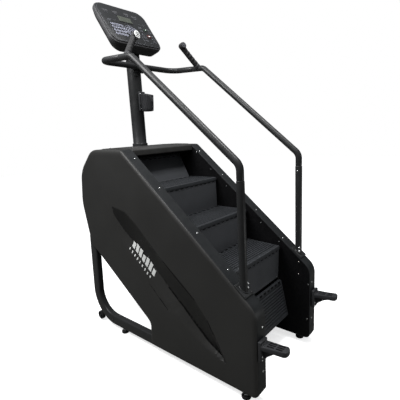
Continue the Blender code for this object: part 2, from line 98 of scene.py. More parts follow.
def add(nt, kind, *first, **named):
    """New shader node, with its inputs fed in order or by name."""
    n = nt.nodes.new("ShaderNode" + kind)
    for i, value in enumerate(first):
        feed(nt, n.inputs[i], value)
    for key, value in named.items():
        feed(nt, n.inputs[key.replace("_", " ")], value)
    return n


def mixed(nt, fac, a, b):
    """Blend of two colours."""
    n = add(nt, "Mix")
    n.data_type = "RGBA"
    for i, value in ((0, fac), (6, a), (7, b)):
        feed(nt, n.inputs[i], value)
    return n.outputs[2]


def times(nt, a, b):
    """Product of two values."""
    n = add(nt, "Math", a, b)
    n.operation = "MULTIPLY"
    return n.outputs[0]


def ranged(nt, value, low, high, lo=.3, hi=.7, kind="LINEAR"):
    """Value moved from the range lo to hi to the range low to high."""
    n = add(nt, "MapRange", Value=value, From_Min=lo, From_Max=hi, To_Min=low, To_Max=high)
    n.interpolation_type = kind
    return n.outputs["Result"]


def surface(name, rgb, rough, metal=0, vary=.12, grain=900.0, bump=.05, wear=.25, cloud=6.0,
        worn=None, spec=.25):
    """Procedural finish: cloudy tone, fine grain, uneven gloss and paler worn edges."""
    m = bpy.data.materials.new(name)
    m.use_nodes = True
    nt = m.node_tree
    inputs = nt.nodes["Principled BSDF"].inputs
    coord = add(nt, "TexCoord").outputs["Object"]

    def noise(scale, detail=4.0):
        return add(nt, "TexNoise", Scale=scale, Detail=detail, Vector=coord).outputs["Fac"]

    dark = tuple(c * (1.0 - vary) for c in rgb)
    pale = tuple(min(1.0, c * (1.0 + vary)) for c in rgb)
    colour = mixed(nt, ranged(nt, noise(cloud), 0, 1.0), dark, pale)
    speck = tuple(min(1.0, c * 1.5 + .004) for c in rgb)
    colour = mixed(nt, ranged(nt, noise(grain, 2.0), 0, .28, .5, .8), colour, speck)
    if wear > 0:
        edge = add(nt, "NewGeometry").outputs["Pointiness"]
        patch = times(nt, ranged(nt, edge, 0, wear, .515, .6),
            ranged(nt, noise(cloud * 9.0), .3, 1.0))
        colour = mixed(nt, patch, colour, worn or tuple(min(1, c * 3 + .02) for c in rgb))
    gloss = ranged(nt, noise(cloud * 4.0, 6.0), max(.02, rough - GLOSS_SPREAD),
        rough + GLOSS_SPREAD)
    relief = add(nt, "Bump", Strength=bump, Distance=.0006, Height=noise(grain, 3.0))
    for key, value in (("Base Color", colour), ("Roughness", gloss), ("Metallic", metal),
            ("Specular IOR Level", .5 if metal else spec), ("Coat Weight", 0),
            ("Coat Roughness", .18), ("Normal", relief.outputs["Normal"])):
        feed(nt, inputs[key], value)
    return m


GLOSS_SPREAD = .08       # how far the gloss wanders either side of its mean
PANEL = surface("panel_paint", (.027, .0268, .0262), .38, grain=420, bump=.1, cloud=3.0, spec=.14,
    vary=.1)
# darker copy of the panel paint for the blade's floor: painted shade in the pressed valley
BLADE_SHADE = surface("blade_painted_shade", (.0105, .0105, .0105), .34, grain=420, bump=.1, cloud=3.0, spec=.14,
    vary=.14)
# near-black strips along the folds of the panel: painted shade
FOLD_SHADE = surface("fold_shadow", (.003, .003, .0031), .4, grain=420, bump=.1, wear=0, spec=.1)
FLANGE = surface("flange_paint", (.0125, .0135, .0145), .38, grain=500, bump=.08, cloud=5.0,
    spec=.16)
FRAME = surface("frame_paint", (.0195, .0201, .0208), .36, grain=650, bump=.04, spec=.2)
WALL = surface("inner_wall_paint", (.0022, .0022, .0026), .55, grain=500, bump=.1, spec=.08)
HOUSING = surface("housing_plastic", (.03, .03, .032), .42, grain=1400, bump=.03, spec=.3, wear=.08)
FACE = surface("face_film", (.008, .0085, .0095), .38, grain=1500, bump=.01, cloud=4.0, spec=.36,
    wear=.05)
PLASTIC = surface("moulded_plastic", (.02, .0205, .0225), .5, grain=1300, bump=.3, spec=.25)
# treads and risers are one plastic: the risers' paler colour is painted light and the treads'
# darker colour painted shade, set against the steep lamp over the stairs
RISER_PAINTED_LIGHT = surface("riser_plastic", (.054, .056, .061), .5, grain=1100, bump=.25, vary=.14, wear=.5,
    worn=(.06, .064, .07), cloud=8.0, spec=.2)
STEP_PAINTED_SHADE = surface("step_plastic", (.0135, .0146, .0166), .48, grain=1100, bump=.25, vary=.16, wear=.5,
    worn=(.05, .053, .058), cloud=8.0, spec=.25)
RUBBER = surface("black_rubber", (.009, .009, .0095), .78, grain=900, bump=.45, wear=.15, spec=.2)
GRIP = surface("grip_rubber", (.011, .011, .0118), .62, grain=1800, bump=.55, wear=.2, spec=.3)
STEEL = surface("machined_steel", (.42, .43, .44), .3, metal=1.0, grain=800, bump=.12, wear=.1,
    vary=.08)
BOLT = surface("bright_zinc", (.8, .81, .82), .25, metal=1.0, grain=900, bump=.08, wear=.1,
    vary=.06)
# near-black fill for sockets, slots and openings: painted shade where they are hollow
RECESS_SHADE = surface("shadow_recess", (.002, .002, .0024), .7, grain=800, bump=.1, wear=0, spec=.08)
LCD = surface("display_film", (.06, .066, .055), .24, grain=2600, bump=.03, wear=0, vary=.06)
SEGMENT = surface("display_segment", (.022, .027, .02), .35, grain=2600, bump=.03, wear=0)
PRINT = surface("pale_print", (.3, .31, .38), .42, grain=1800, bump=.08, wear=0, vary=.18)
PRINT_DIM = surface("dim_print", (.12, .124, .138), .42, grain=1800, bump=.08, wear=0, vary=.18)
MARK = surface("pale_mark", (.62, .63, .62), .45, grain=900, bump=.12, wear=0, vary=.1)
BADGE = surface("badge_plastic", (.78, .79, .78), .35, grain=900, bump=.08, wear=0)
RED = surface("red_key", (.045, .007, .006), .36, grain=1500, bump=.12)
GREEN = surface("green_key", (.007, .028, .011), .36, grain=1500, bump=.12)


# ---- mesh helpers
shift = Matrix.Translation


def piece(bm, name, mat, replaces=(), smooth=32.0, extra=(), body="frame"):
    """Turn a bmesh into a shown piece that rides on a body."""
    bmesh.ops.recalc_face_normals(bm, faces=bm.faces)
    me = bpy.data.meshes.new(name)
    bm.to_mesh(me)
    bm.free()
    for m in (mat, *extra):
        me.materials.append(m)
    me.shade_smooth()
    me.set_sharp_from_angle(angle=radians(smooth))
    ob = place(name, me)
    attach(ob, body)
    if replaces:
        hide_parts(*replaces)


def bridge(bm, a, b, mat=0):
    """Quads between two closed loops of vertices."""
    for i in range(len(a)):
        j = (i + 1) % len(a)
        bm.faces.new((a[i], a[j], b[j], b[i])).material_index = mat


def loft(bm, rings, cap=True, matrix=None, mat=0):
    """Closed skin through rings of equal length."""
    loops = [[bm.verts.new(matrix @ Vector(p) if matrix else p) for p in r] for r in rings]
    for a, b in zip(loops, loops[1:]):
        bridge(bm, a, b, mat)
    if cap:
        bm.faces.new(loops[0]).material_index = mat
        bm.faces.new(loops[-1]).material_index = mat
    return loops


def circle(r, count=28):
    """Points of a circle."""
    return [(r * cos(2 * pi * i / count), r * sin(2 * pi * i / count)) for i in range(count)]


def lathe(bm, profile, matrix, count=32, cap=True, mat=0):
    """Solid of revolution round the matrix's Z, from (radius, height) points."""
    return loft(bm, [[(a, b, h) for a, b in circle(r, count)] for r, h in profile], cap, matrix,
        mat)


def box(bm, size, matrix, bevel=.001, segments=2, mat=0):
    """Block with rounded edges."""
    tmp = bmesh.new()
    bmesh.ops.create_cube(tmp, size=1.0)
    bmesh.ops.scale(tmp, vec=size, verts=tmp.verts)
    bmesh.ops.bevel(tmp, geom=list(tmp.edges), offset=bevel, segments=segments, profile=.5,
        affect="EDGES")
    lut = {v: bm.verts.new(matrix @ v.co) for v in tmp.verts}
    for f in tmp.faces:
        bm.faces.new([lut[v] for v in f.verts]).material_index = mat
    tmp.free()


def frame_at(origin, normal, up=(0, 0, 1.0)):
    """Matrix whose Z is the normal, at a point."""
    z = Vector(normal).normalized()
    x = Vector(up).cross(z)
    x = x.normalized() if x.length > 1e-6 else Vector((1, 0, 0))
    y = z.cross(x)
    m = Matrix((x, y, z)).transposed().to_4x4()
    m.translation = Vector(origin)
    return m


def rotated(v, ang):
    """2-D vector turned by an angle."""
    c, s = cos(ang), sin(ang)
    return Vector((v[0] * c - v[1] * s, v[0] * s + v[1] * c))


def fillet(corners, seg=8):
    """Round the corners of a closed outline of (a, b, radius)."""
    out = []
    total = len(corners)
    for i, (y, z, r) in enumerate(corners):
        p = Vector((y, z))
        a = (Vector(corners[i - 1][:2]) - p).normalized()
        b = (Vector(corners[(i + 1) % total][:2]) - p).normalized()
        half = acos(max(-1.0, min(1.0, a.dot(b)))) / 2
        if r <= 0 or half > 1.56:
            out.append(p)
            continue
        reach = r / tan(half)
        centre = p + (a + b).normalized() * (r / sin(half))
        va, vb = p + a * reach - centre, p + b * reach - centre
        turn = va.angle_signed(vb)
        out += [centre + rotated(va, -turn * k / seg) for k in range(seg + 1)]
    return out


def rect(w, h, r, seg, x=0, y=0):
    """Rounded rectangle about (x, y), from half its width and half its height."""
    return fillet([(x - w, y - h, r), (x + w, y - h, r), (x + w, y + h, r), (x - w, y + h, r)], seg)


def inset(outline, d):
    """Move a closed outline towards its inside by d."""
    if not d:
        return [Vector(p) for p in outline]
    pts = [Vector(p) for p in outline]
    total = len(pts)
    area = sum(pts[i - 1].x * pts[i].y - pts[i].x * pts[i - 1].y for i in range(total))
    side = 1.0 if area > 0 else -1.0
    out = []
    for i in range(total):
        a = (pts[i] - pts[i - 1]).normalized()
        b = (pts[(i + 1) % total] - pts[i]).normalized()
        na, nb = Vector((-a.y, a.x)) * side, Vector((-b.y, b.x)) * side
        m = (na + nb).normalized()
        out.append(pts[i] + m * (d / max(.35, m.dot(na))))
    return out


def rounded_path(points, radius, seg=10):
    """Fillet an open 3-D path."""
    pts = [Vector(p) for p in points]
    out = [pts[0]]
    for a, p, b in zip(pts, pts[1:], pts[2:]):
        u, v = (a - p).normalized(), (b - p).normalized()
        half = u.angle(v) / 2
        reach = min(radius / tan(half), .48 * (a - p).length, .48 * (b - p).length)
        r = reach * tan(half)
        centre = p + (u + v).normalized() * (r / sin(half))
        va, vb = p + u * reach - centre, p + v * reach - centre
        axis = va.cross(vb).normalized()
        full = va.angle(vb)
        out += [centre + Matrix.Rotation(full * k / seg, 3, axis) @ va for k in range(seg + 1)]
    out.append(pts[-1])
    return out


def sweep(bm, path, section, up=(1.0, 0, 0), scales=None):
    """Sweep a closed (a, b) section along a path; a starts along `up`."""
    rings = []
    last = Vector(up)
    for i, p in enumerate(path):
        fwd = (Vector(path[min(i + 1, len(path) - 1)]) - Vector(path[max(i - 1, 0)])).normalized()
        side = (last - fwd * last.dot(fwd)).normalized()
        last = side
        other = fwd.cross(side)
        k = scales[i] if scales else 1.0
        rings.append([Vector(p) + side * a * k + other * b * k for a, b in section])
    loft(bm, rings)


def rounded_end(path, r, length=.004):
    """Radii that round off both ends of a swept tube, with the path they belong to."""
    start, end = Vector(path[0]), Vector(path[-1])
    d0 = (Vector(path[1]) - start).normalized()
    d1 = (Vector(path[-2]) - end).normalized()
    new = [start, start + d0 * length * .35, start + d0 * length] + list(path[1:-1])
    new += [end + d1 * length, end + d1 * length * .35, end]
    k = [1 - length / r * .9, 1 - length / r * .25, 1.0] + [1.0] * (len(path) - 2)
    k += [1.0, 1 - length / r * .25, 1 - length / r * .9]
    return new, k


def tube(name, path, replaced, up=(1, 0, 0)):
    """Painted round tube along a path."""
    bm = bmesh.new()
    new, k = rounded_end(path, TUBE_R)
    sweep(bm, new, circle(TUBE_R), up, k)
    piece(bm, name, FRAME, [replaced])


def screw_head(bm, at, normal, r=.0052, h=.0028):
    """Button head with a hexagon socket, the socket a dark disc of painted shade."""
    m = frame_at(at, normal)
    lathe(bm, [(r, 0), (r, h * .25), (r * .86, h * .75), (r * .62, h)], m, 18)
    socket = lathe(bm, [(r * .36, h + .0001), (r * .3, h + .0001)], m, 6, cap=False, mat=1)
    bm.faces.new(socket[-1]).material_index = 1


def dress(name, mat):
    """Give a CAD node that stays in view a finished material."""
    ob = NODES[name]
    ob.data.materials.clear()
    ob.data.materials.append(mat)


# ---- side panels
shoulder_z = CORNER.y - (CORNER.x - FRONT_Y) * tan(SLOPE)
OUTLINE = fillet([(FRONT_Y, .045, .034), (.15, .045, .03), (.138, .205, .05), (.728, .64, .06),
    (.786, .94, .26), (.752, 1.165, .18), (.6, 1.31, .12), (CORNER.x, CORNER.y, .034),
    (FRONT_Y, shoulder_z, .1)], 12)
# the blade: a long valley pressed into the panel, from its upper and its lower edge
BLADE_TOP = [(.418, .943), (.29, .919), (.2, .86), (.075, .75), (-.024, .662), (-.165, .553),
    (-.263, .481), (-.345, .388), (-.399, .289), (-.46, .182)]
BLADE_LOW = [(.418, .9), (.339, .805), (.227, .706), (.075, .6), (-.044, .494), (-.167, .396),
    (-.239, .333), (-.333, .254), (-.46, .182)]
BLADE_DEPTH = .021
CREASE = [(.106, .481), (.024, .411), (-.041, .352), (-.099, .36), (-.155, .388)]
BLADE_TOP, BLADE_LOW, CREASE = ([Vector(p) for p in line]
    for line in (BLADE_TOP, BLADE_LOW, CREASE))


def gap_to(line, p):
    """Distance from p to a polyline, and whether p lies on its left."""
    best, left = inf, False
    for a, b in zip(line, line[1:]):
        ab = b - a
        t = max(0, min(1.0, (p - a).dot(ab) / ab.length_squared))
        d = (p - a - ab * t).length
        if d < best - 1e-9:
            best, left = d, ab.x * (p.y - a.y) - ab.y * (p.x - a.x) > 0
    return best, left


def ease(x):
    """Smooth step from 0 to 1."""
    x = max(0, min(1.0, x))
    return x * x * (3 - 2 * x)


def relief(p):
    """Depth of the outer face below its highest level at (y, z)."""
    top_d, top_left = gap_to(BLADE_TOP, p)
    low_d, low_left = gap_to(BLADE_LOW, p)
    fade = ease((.47 - p.x) / .26)
    width = top_d + low_d
    if top_left and not low_left:
        # floor of the blade: falls from its upper edge to the crease
        return BLADE_DEPTH * fade * (top_d / width) ** .8 * min(1.0, width / .03)
    if low_left:
        # the skin below swells back from the crease
        reach = .012 + .075 * ease((p.x + .46) / .35)
        depth = BLADE_DEPTH * fade * (1 - ease(low_d / reach)) * .85
        crease_d, crease_left = gap_to(CREASE, p)
        if not crease_left and crease_d < .06 and -.22 < p.x < .12:
            depth += .0018 * (1 - ease(crease_d / .06))
        return depth * min(1.0, ease((p.x + .485) / .06))
    return 0


def in_blade(p):
    """Whether (y, z) lies on the floor of the blade, clear of its faded upper end, where the darker
    paint is painted shade.
    """
    return p.x < .415 and gap_to(BLADE_TOP, p)[1] and not gap_to(BLADE_LOW, p)[1]


def face_points(border, gap=.011):
    """Grid points well inside a border, for triangulation."""
    ys, zs = [p.x for p in border], [p.y for p in border]
    pts = []
    rows = int((max(zs) - min(zs)) / gap)
    cols = int((max(ys) - min(ys)) / gap)
    edges = [(border[i - 1], border[i]) for i in range(len(border))]
    for r in range(1, rows):
        z = min(zs) + r * gap
        cross = sorted(a.x + (z - a.y) * (b.x - a.x) / (b.y - a.y) for a, b in edges
            if (a.y > z) != (b.y > z))
        for c in range(cols):
            y = min(ys) + (c + .5 * (r % 2)) * gap
            for lo, hi in zip(cross[::2], cross[1::2]):
                if lo + gap * .7 < y < hi - gap * .7:
                    pts.append(Vector((y, z)))
    return pts


def resample(line, step):
    """Points along a polyline, no further apart than a step."""
    out = []
    for a, b in zip(line, line[1:]):
        n = max(1, int((b - a).length / step))
        out += [a.lerp(b, k / n) for k in range(n)]
    return out + [line[-1]]


EDGE_BAND = .016          # width of the rolled edge
GUIDE_STEP, GUIDE_CLEAR = .01, .0045
BORDER = inset(OUTLINE, EDGE_BAND)
EDGE = BORDER + BORDER[:1]
FIELD = face_points(BORDER)
LINES = [resample(line, GUIDE_STEP) for line in (BLADE_TOP, BLADE_LOW, CREASE)]
GUIDES = [p for line in LINES for p in line]
FIELD = [p for p in FIELD if all((p - g).length > GUIDE_CLEAR for g in GUIDES)] + GUIDES
seed = [Vector(p) for p in BORDER] + FIELD
ring_edges = [(i, (i + 1) % len(BORDER)) for i in range(len(BORDER))]
first_guide = len(seed) - len(GUIDES)
for line in LINES:
    ring_edges += [(first_guide + i, first_guide + i + 1) for i in range(len(line) - 1)]
    first_guide += len(line)
TRI = delaunay_2d_cdt(seed, ring_edges, [], 1, 1e-6)
BASE_SINK = .0014


def side_panel(side, s):
    """Pressed cover with rolled edge, deep flange and the blade relief, the blade's floor in darker
    paint as painted shade.
    """
    bm = bmesh.new()
    walls = [(PANEL_X - FLANGE_X, .004), (PANEL_X - FLANGE_X, .0012),
        (PANEL_X - FLANGE_X - .0012, 0), (.02, 0), (.013, .0008), (.008, .0032), (.005, .0072),
        (.0032, .012)]
    rings = [[(s * (PANEL_X - depth), p.x, p.y) for p in inset(OUTLINE, d)] for depth, d in walls]
    loops = loft(bm, rings, cap=False)
    for f in bm.faces:
        c = f.calc_center_median()
        if abs(c.x) < PANEL_X - .012 and c.y < CORNER.x + .02 and c.z > .1:
            f.material_index = 1
    lut = []
    for i, p in enumerate(TRI[0]):
        rim = min(1.0, max(0, gap_to(EDGE, p)[0] / .03))
        depth = BASE_SINK + relief(p) * ease(rim)
        lut.append(bm.verts.new((s * (PANEL_X - depth), p.x, p.y)))
    for f in TRI[2]:
        face = bm.faces.new([lut[i] for i in f])
        mid = sum((TRI[0][i] for i in f), Vector((0, 0))) / 3
        # faces on the blade's floor take the darker paint, which is painted shade
        face.material_index = 2 if in_blade(mid) else 0
    count = len(BORDER)
    first = {j: i for i, src in enumerate(TRI[3]) for j in src if j < count}
    for i in range(count):
        j = (i + 1) % count
        bm.faces.new((loops[-1][i], loops[-1][j], lut[first[j]], lut[first[i]]))
    back = [(PANEL_X - FLANGE_X, .004), (.03, .004), (.026, .02)]
    inner = [[(s * (PANEL_X - depth), p.x, p.y) for p in inset(OUTLINE, d)] for depth, d in back]
    inner_loops = [loops[0]] + [[bm.verts.new(p) for p in ring] for ring in inner[1:]]
    for a, b in zip(inner_loops, inner_loops[1:]):
        bridge(bm, b, a)
    bm.faces.new(inner_loops[-1])
    return piece(bm, side + "_panel_shell", PANEL, [side + "_side_panel"], 28.0,
        extra=[FLANGE, BLADE_SHADE])


def groove(bm, s, line, width):
    """Near-black strip of painted shade along a fold of the pressed skin, tapering to its ends."""
    pts = resample(line, .006)
    last = len(pts) - 1
    rings = []
    for i, p in enumerate(pts):
        d = (pts[min(i + 1, last)] - pts[max(i - 1, 0)]).normalized()
        half = Vector((-d.y, d.x)) * (width / 2 * max(.2, sin(pi * i / last)) ** .5)
        rings.append([(s * (PANEL_X - BASE_SINK - relief(q) + lift), q.x, q.y)
            for q, lift in ((p - half, -.003), (p - half, .0009), (p + half, .0009),
            (p + half, -.003))])
    loft(bm, rings)


for name, s in SIDES:
    side_panel(name, s)
    bm = bmesh.new()
    groove(bm, s, BLADE_TOP[4:7], .011)
    groove(bm, s, BLADE_TOP[7:], .012)
    groove(bm, s, BLADE_LOW[4:], .012)
    groove(bm, s, CREASE[:3], .003)
    piece(bm, name + "_panel_fold_shade", FOLD_SHADE)

# ---- covers between the panels
W_IN = FLANGE_X - .0008


def strip(bm, outline, half, bevel=.0015, centre=0):
    """Extrude a (y, z) outline along X, with softened end edges."""
    rings = [[(centre + x, p.x, p.y) for p in inset(outline, d)]
        for x, d in ((-half, bevel), (-half + bevel, 0), (half - bevel, 0), (half, bevel))]
    loft(bm, rings)


cover = fillet([(.262, 1.262, .003), (.262, 1.298, .01), (.3, 1.3095, .06), (.42, 1.313, .3),
    (.6, 1.311, .14), (.7, 1.266, .12), (.772, 1.165, .004), (.76, 1.16, .003), (.69, 1.253, .1),
    (.596, 1.299, .12), (.42, 1.301, .3), (.3, 1.2975, .05), (.276, 1.288, .006),
    (.276, 1.262, .003)], 6)
bm = bmesh.new()
strip(bm, cover, W_IN)
piece(bm, "top_cover_shell", PANEL, ["top_cover"])
bm = bmesh.new()
seal = rect(.0055, .002, .001, 3, .27, 1.2605)
strip(bm, seal, W_IN - .004)
piece(bm, "cover_edge_trim", RUBBER)

rear = fillet([(.7725, 1.164, .004), (.8, 1.0, .5), (.798, .9, .5), (.744, .66, .06),
    (.73, .636, .006), (.72, .642, .004), (.732, .664, .05), (.786, .9, .5), (.788, 1.0, .5),
    (.7605, 1.159, .004)], 6)
bm = bmesh.new()
strip(bm, rear, W_IN)
piece(bm, "rear_cover_shell", PANEL, ["rear_cover"])
bm = bmesh.new()
for bank in (-.12, .12):
    for i in range(11):
        z = .9 + i * .018
        y = .7995 + (.0004 if z < 1.0 else -(z - 1.0) * .168)
        m = shift((bank, y, z)) @ Matrix.Rotation(radians(24), 4, "X")
        box(bm, (.15, .0075, .0045), m, .0018, 2)
piece(bm, "rear_cover_louvres", PLASTIC, smooth=40)
bm = bmesh.new()
for x in (-.235, 0, .235):
    for y, z, n in ((.7772, 1.15, (0, .97, .17)), (.7565, .7, (0, .975, -.22))):
        screw_head(bm, (x, y, z), n)
for x in (-.235, .235):
    screw_head(bm, (x, .315, 1.3096), (0, -.06, .99))
    screw_head(bm, (x, .56, 1.3113), (0, .02, .99))
piece(bm, "cover_screws", STEEL, extra=[RECESS_SHADE])

# ---- base frames
w, h, r = BASE_W / 2, BASE_H / 2, .009
SEC = [tuple(p) for p in rect(w, h, r, 5)]
for side, s in SIDES:
    x = s * BASE_X
    bm = bmesh.new()
    path = rounded_path([(x, -.6, RAIL_Z), (x, .76, RAIL_Z), (x, .722, .688)], .19, 24)
    sweep(bm, path, SEC)
    m = shift((x, -.6008, RAIL_Z))
    box(bm, (BASE_W - .003, .004, BASE_H - .003), m, .0015, 2, 1)
    piece(bm, side + "_base_tube", FRAME, [side + "_base_frame"], extra=[RUBBER])
    # lug that carries the transport wheel
    lug = fillet([(.64, .06, .002), (.746, .034, .01), (.76, .034, .01), (.766, .046, .01),
        (.762, .058, .01), (.715, .12, .004), (.66, .12, .002)], 5)
    bm = bmesh.new()
    strip(bm, lug, .003, .0008, centre=x - s * .0195)
    lathe(bm, [(.006, -.018), (.006, .015), (.0088, .015), (.0088, .0172), (.007, .0184)],
        shift((x, .754, .045)) @ Matrix.Rotation(s * pi / 2, 4, "Y"), 24)
    piece(bm, side + "_wheel_lug", FRAME)
    # screws inside the rail at the panel's rear corner, and outside it near the rear leg
    bm = bmesh.new()
    for y in (.172, .206):
        screw_head(bm, (x - s * (w + .0004), y, RAIL_Z + .014), (-s, 0, 0), .0065, .0035)
    for y in (.545, .575):
        screw_head(bm, (x + s * (w + .0003), y, RAIL_Z), (s, 0, 0), .0065, .0035)
    piece(bm, side + "_rail_screws", FRAME, extra=[RECESS_SHADE])

# ---- mast, its foot and the cup holder
face_z = FOOT.z + (MAST_Y - FOOT.y) * tan(CONSOLE_LEAN)
mast_top = face_z - CONSOLE_T / cos(CONSOLE_LEAN) - .0006
bm = bmesh.new()
profile = [(.066, 1.2754), (.07, 1.277), (.07, 1.292), (.066, 1.294), (.0555, 1.294),
    (.0545, 1.298), (.0545, 1.329), (.053, 1.331), (.049, 1.3314), (MAST_R, 1.333), (MAST_R, 1.5),
    (MAST_R, 1.65), (MAST_R, 1.8), (MAST_R, 1.9)]
rings = [[(a, MAST_Y + b, z) for a, b in circle(q, 48)] for q, z in profile]
rings.append([(a, MAST_Y + b, mast_top + b * tan(CONSOLE_LEAN)) for a, b in circle(MAST_R, 48)])
loft(bm, rings)
# cable grommet at the back
lathe(bm, [(.014, 0), (.014, .003), (.011, .0045), (.006, .0045)],
    frame_at((0, MAST_Y + .0475, 1.42), (0, 1, 0)), 24, mat=1)
piece(bm, "mast_column", FRAME, ["mast"], extra=[RUBBER])
bm = bmesh.new()
for z in (-.034, .034):
    box(bm, (.062, .016, .008), shift((0, MAST_Y - .052, BAR_Z + z)), .002)
box(bm, (.086, .006, .076), shift((0, MAST_Y - .047, BAR_Z)), .002)
piece(bm, "handlebar_saddle", FRAME)
bm = bmesh.new()
for x in (-.034, .034):
    for z in (-.029, .029):
        screw_head(bm, (x, MAST_Y - .0502, BAR_Z + z), (0, -1, 0), .005, .003)
lathe(bm, [(.01, 0), (.01, .008), (.0085, .01), (.004, .0105)],
    frame_at((-.018, MAST_Y - .0445, 1.8), (-.36, -.93, 0)), 20)
piece(bm, "saddle_screws", FRAME, extra=[RECESS_SHADE])

CUP = Vector((0, .404, 1.548))
bm = bmesh.new()


def cup_ring(r, z, lean, count=40):
    """Ring of the cup; its rim drops towards the user and has a slot for a handle."""
    ring = []
    for a, b in circle(r, count):
        slot = ease((abs(atan2(a - .006, -b)) - .22) / .22) - 1.0 if lean > .1 else 0
        ring.append((a, CUP.y + b, CUP.z + z + lean * b + slot * .036 * min(1.0, z / .1)))
    return ring


rings = [cup_ring(*level) for level in ((.03, 0, 0), (.036, .0008, 0), (.0385, .004, 0),
    (.0405, .02, 0), (.043, .06, .05), (.0448, .104, .26), (.0455, .1095, .26), (.0455, .1122, .26),
    (.044, .114, .26), (.042, .113, .26), (.0412, .104, .26), (.04, .06, .05), (.037, .012, 0),
    (.035, .0075, 0), (.01, .007, 0))]
loft(bm, rings)
piece(bm, "cup", PLASTIC, ["cup_holder"])
bm = bmesh.new()
box(bm, (.052, .02, .13), shift((0, .459, 1.62)), .006, 4)
box(bm, (.03, .03, .07), shift((0, .448, 1.6)), .004, 3)
for z in (1.56, 1.578, 1.596):
    box(bm, (.058, .006, .003), shift((0, .45, z)), .001, 2)
piece(bm, "cup_bracket", PLASTIC)
bm = bmesh.new()
for z in (1.572, 1.672):
    screw_head(bm, (.02, .4488, z), (0, -1, 0), .0035, .002)
    screw_head(bm, (-.02, .4488, z), (0, -1, 0), .0035, .002)
piece(bm, "cup_bracket_screws", STEEL, extra=[RECESS_SHADE])

# ---- handrails, posts and handlebar
KNEE_Z = 1.225
BEAD_R, BEAD_STEPS = .0042, 40
POST_Y = -.556
POST_Z = CORNER.y - (CORNER.x - POST_Y) * tan(SLOPE) + .0058
POST_TOP = POST_Z + .5467
REST = Vector((0, BAR_REAR_Y, BAR_Z))
BAR_RUN = (REST - ELBOW).normalized()
JOINT = ELBOW + BAR_RUN * .097
for side, s in SIDES:
    x = s * RAIL_X
    path = rounded_path([(x, POST_Y, POST_TOP + .0003), (x, POST_Y, KNEE_Z), (x, ELBOW.y, ELBOW.z),
        (x, JOINT.y, JOINT.z)], .06, 16)
    tube(side + "_handrail_tube", path, side + "_handrail")
    bm = bmesh.new()
    rings = []
    for r, hgt, lean in ((POST_R, .003, tan(SLOPE)), (POST_R, .02, tan(SLOPE)), (POST_R, .08, 0),
            (POST_R, .3, 0), (POST_R, .538, 0), (POST_R - .0006, .5415, 0),
            (TUBE_R + .0012, .544, 0), (TUBE_R, .5467, 0)):
        rings.append([(x + a, POST_Y + b, POST_Z + hgt + b * lean) for a, b in circle(r, 32)])
    loft(bm, rings)
    tilt = Matrix.Rotation(SLOPE, 4, "X")
    seat = shift((x, POST_Y, POST_Z)) @ tilt
    box(bm, (.076, .084, .008), seat, .0025, 3)
    # weld bead round the post where it meets its foot plate, slightly uneven
    upv = Vector((0, -sin(SLOPE), cos(SLOPE)))
    loops = []
    for i in range(BEAD_STEPS):
        a = 2 * pi * i / BEAD_STEPS
        out = Vector((cos(a), sin(a), 0))
        p = Vector((x + POST_R * cos(a), POST_Y + POST_R * sin(a),
            POST_Z + .0052 + POST_R * sin(a) * tan(SLOPE)))
        k = BEAD_R * (1.0 + .1 * sin(i * 2.4))
        loops.append([bm.verts.new(p + out * (k * cos(t)) + upv * (k * sin(t)))
            for t in (2 * pi * j / 8 for j in range(8))])
    for i in range(BEAD_STEPS):
        bridge(bm, loops[i], loops[(i + 1) % BEAD_STEPS])
    piece(bm, side + "_post_tube", FRAME, [side + "_handrail_post"])
    bm = bmesh.new()
    for dx in (-.03, .03):
        for dy in (-.033, .033):
            at = seat @ Vector((dx, dy, .004))
            screw_head(bm, at, tilt.to_3x3() @ Vector((0, 0, 1)), .0048, .003)
    piece(bm, side + "_plate_screws", FRAME, extra=[RECESS_SHADE])
    bm = bmesh.new()
    for z in (.615, .637):
        way = Vector((-s * .8, -.6, 0))
        screw_head(bm, Vector((x, POST_Y, z)) + way * (POST_R + .0002), way, .0076, .006)
    screw_head(bm, (x - s * (POST_R + .0002), POST_Y, POST_TOP - .03), (-s, 0, 0), .005, .003)
    piece(bm, side + "_post_bolts", BOLT, extra=[RECESS_SHADE])

start = JOINT + BAR_RUN * .0003
path = rounded_path([(-RAIL_X, start.y, start.z), (-RAIL_X, BAR_REAR_Y, BAR_Z),
    (RAIL_X, BAR_REAR_Y, BAR_Z), (RAIL_X, start.y, start.z)], .078, 24)
tube("handlebar_tube", path, "handlebar", (0, 0, 1))

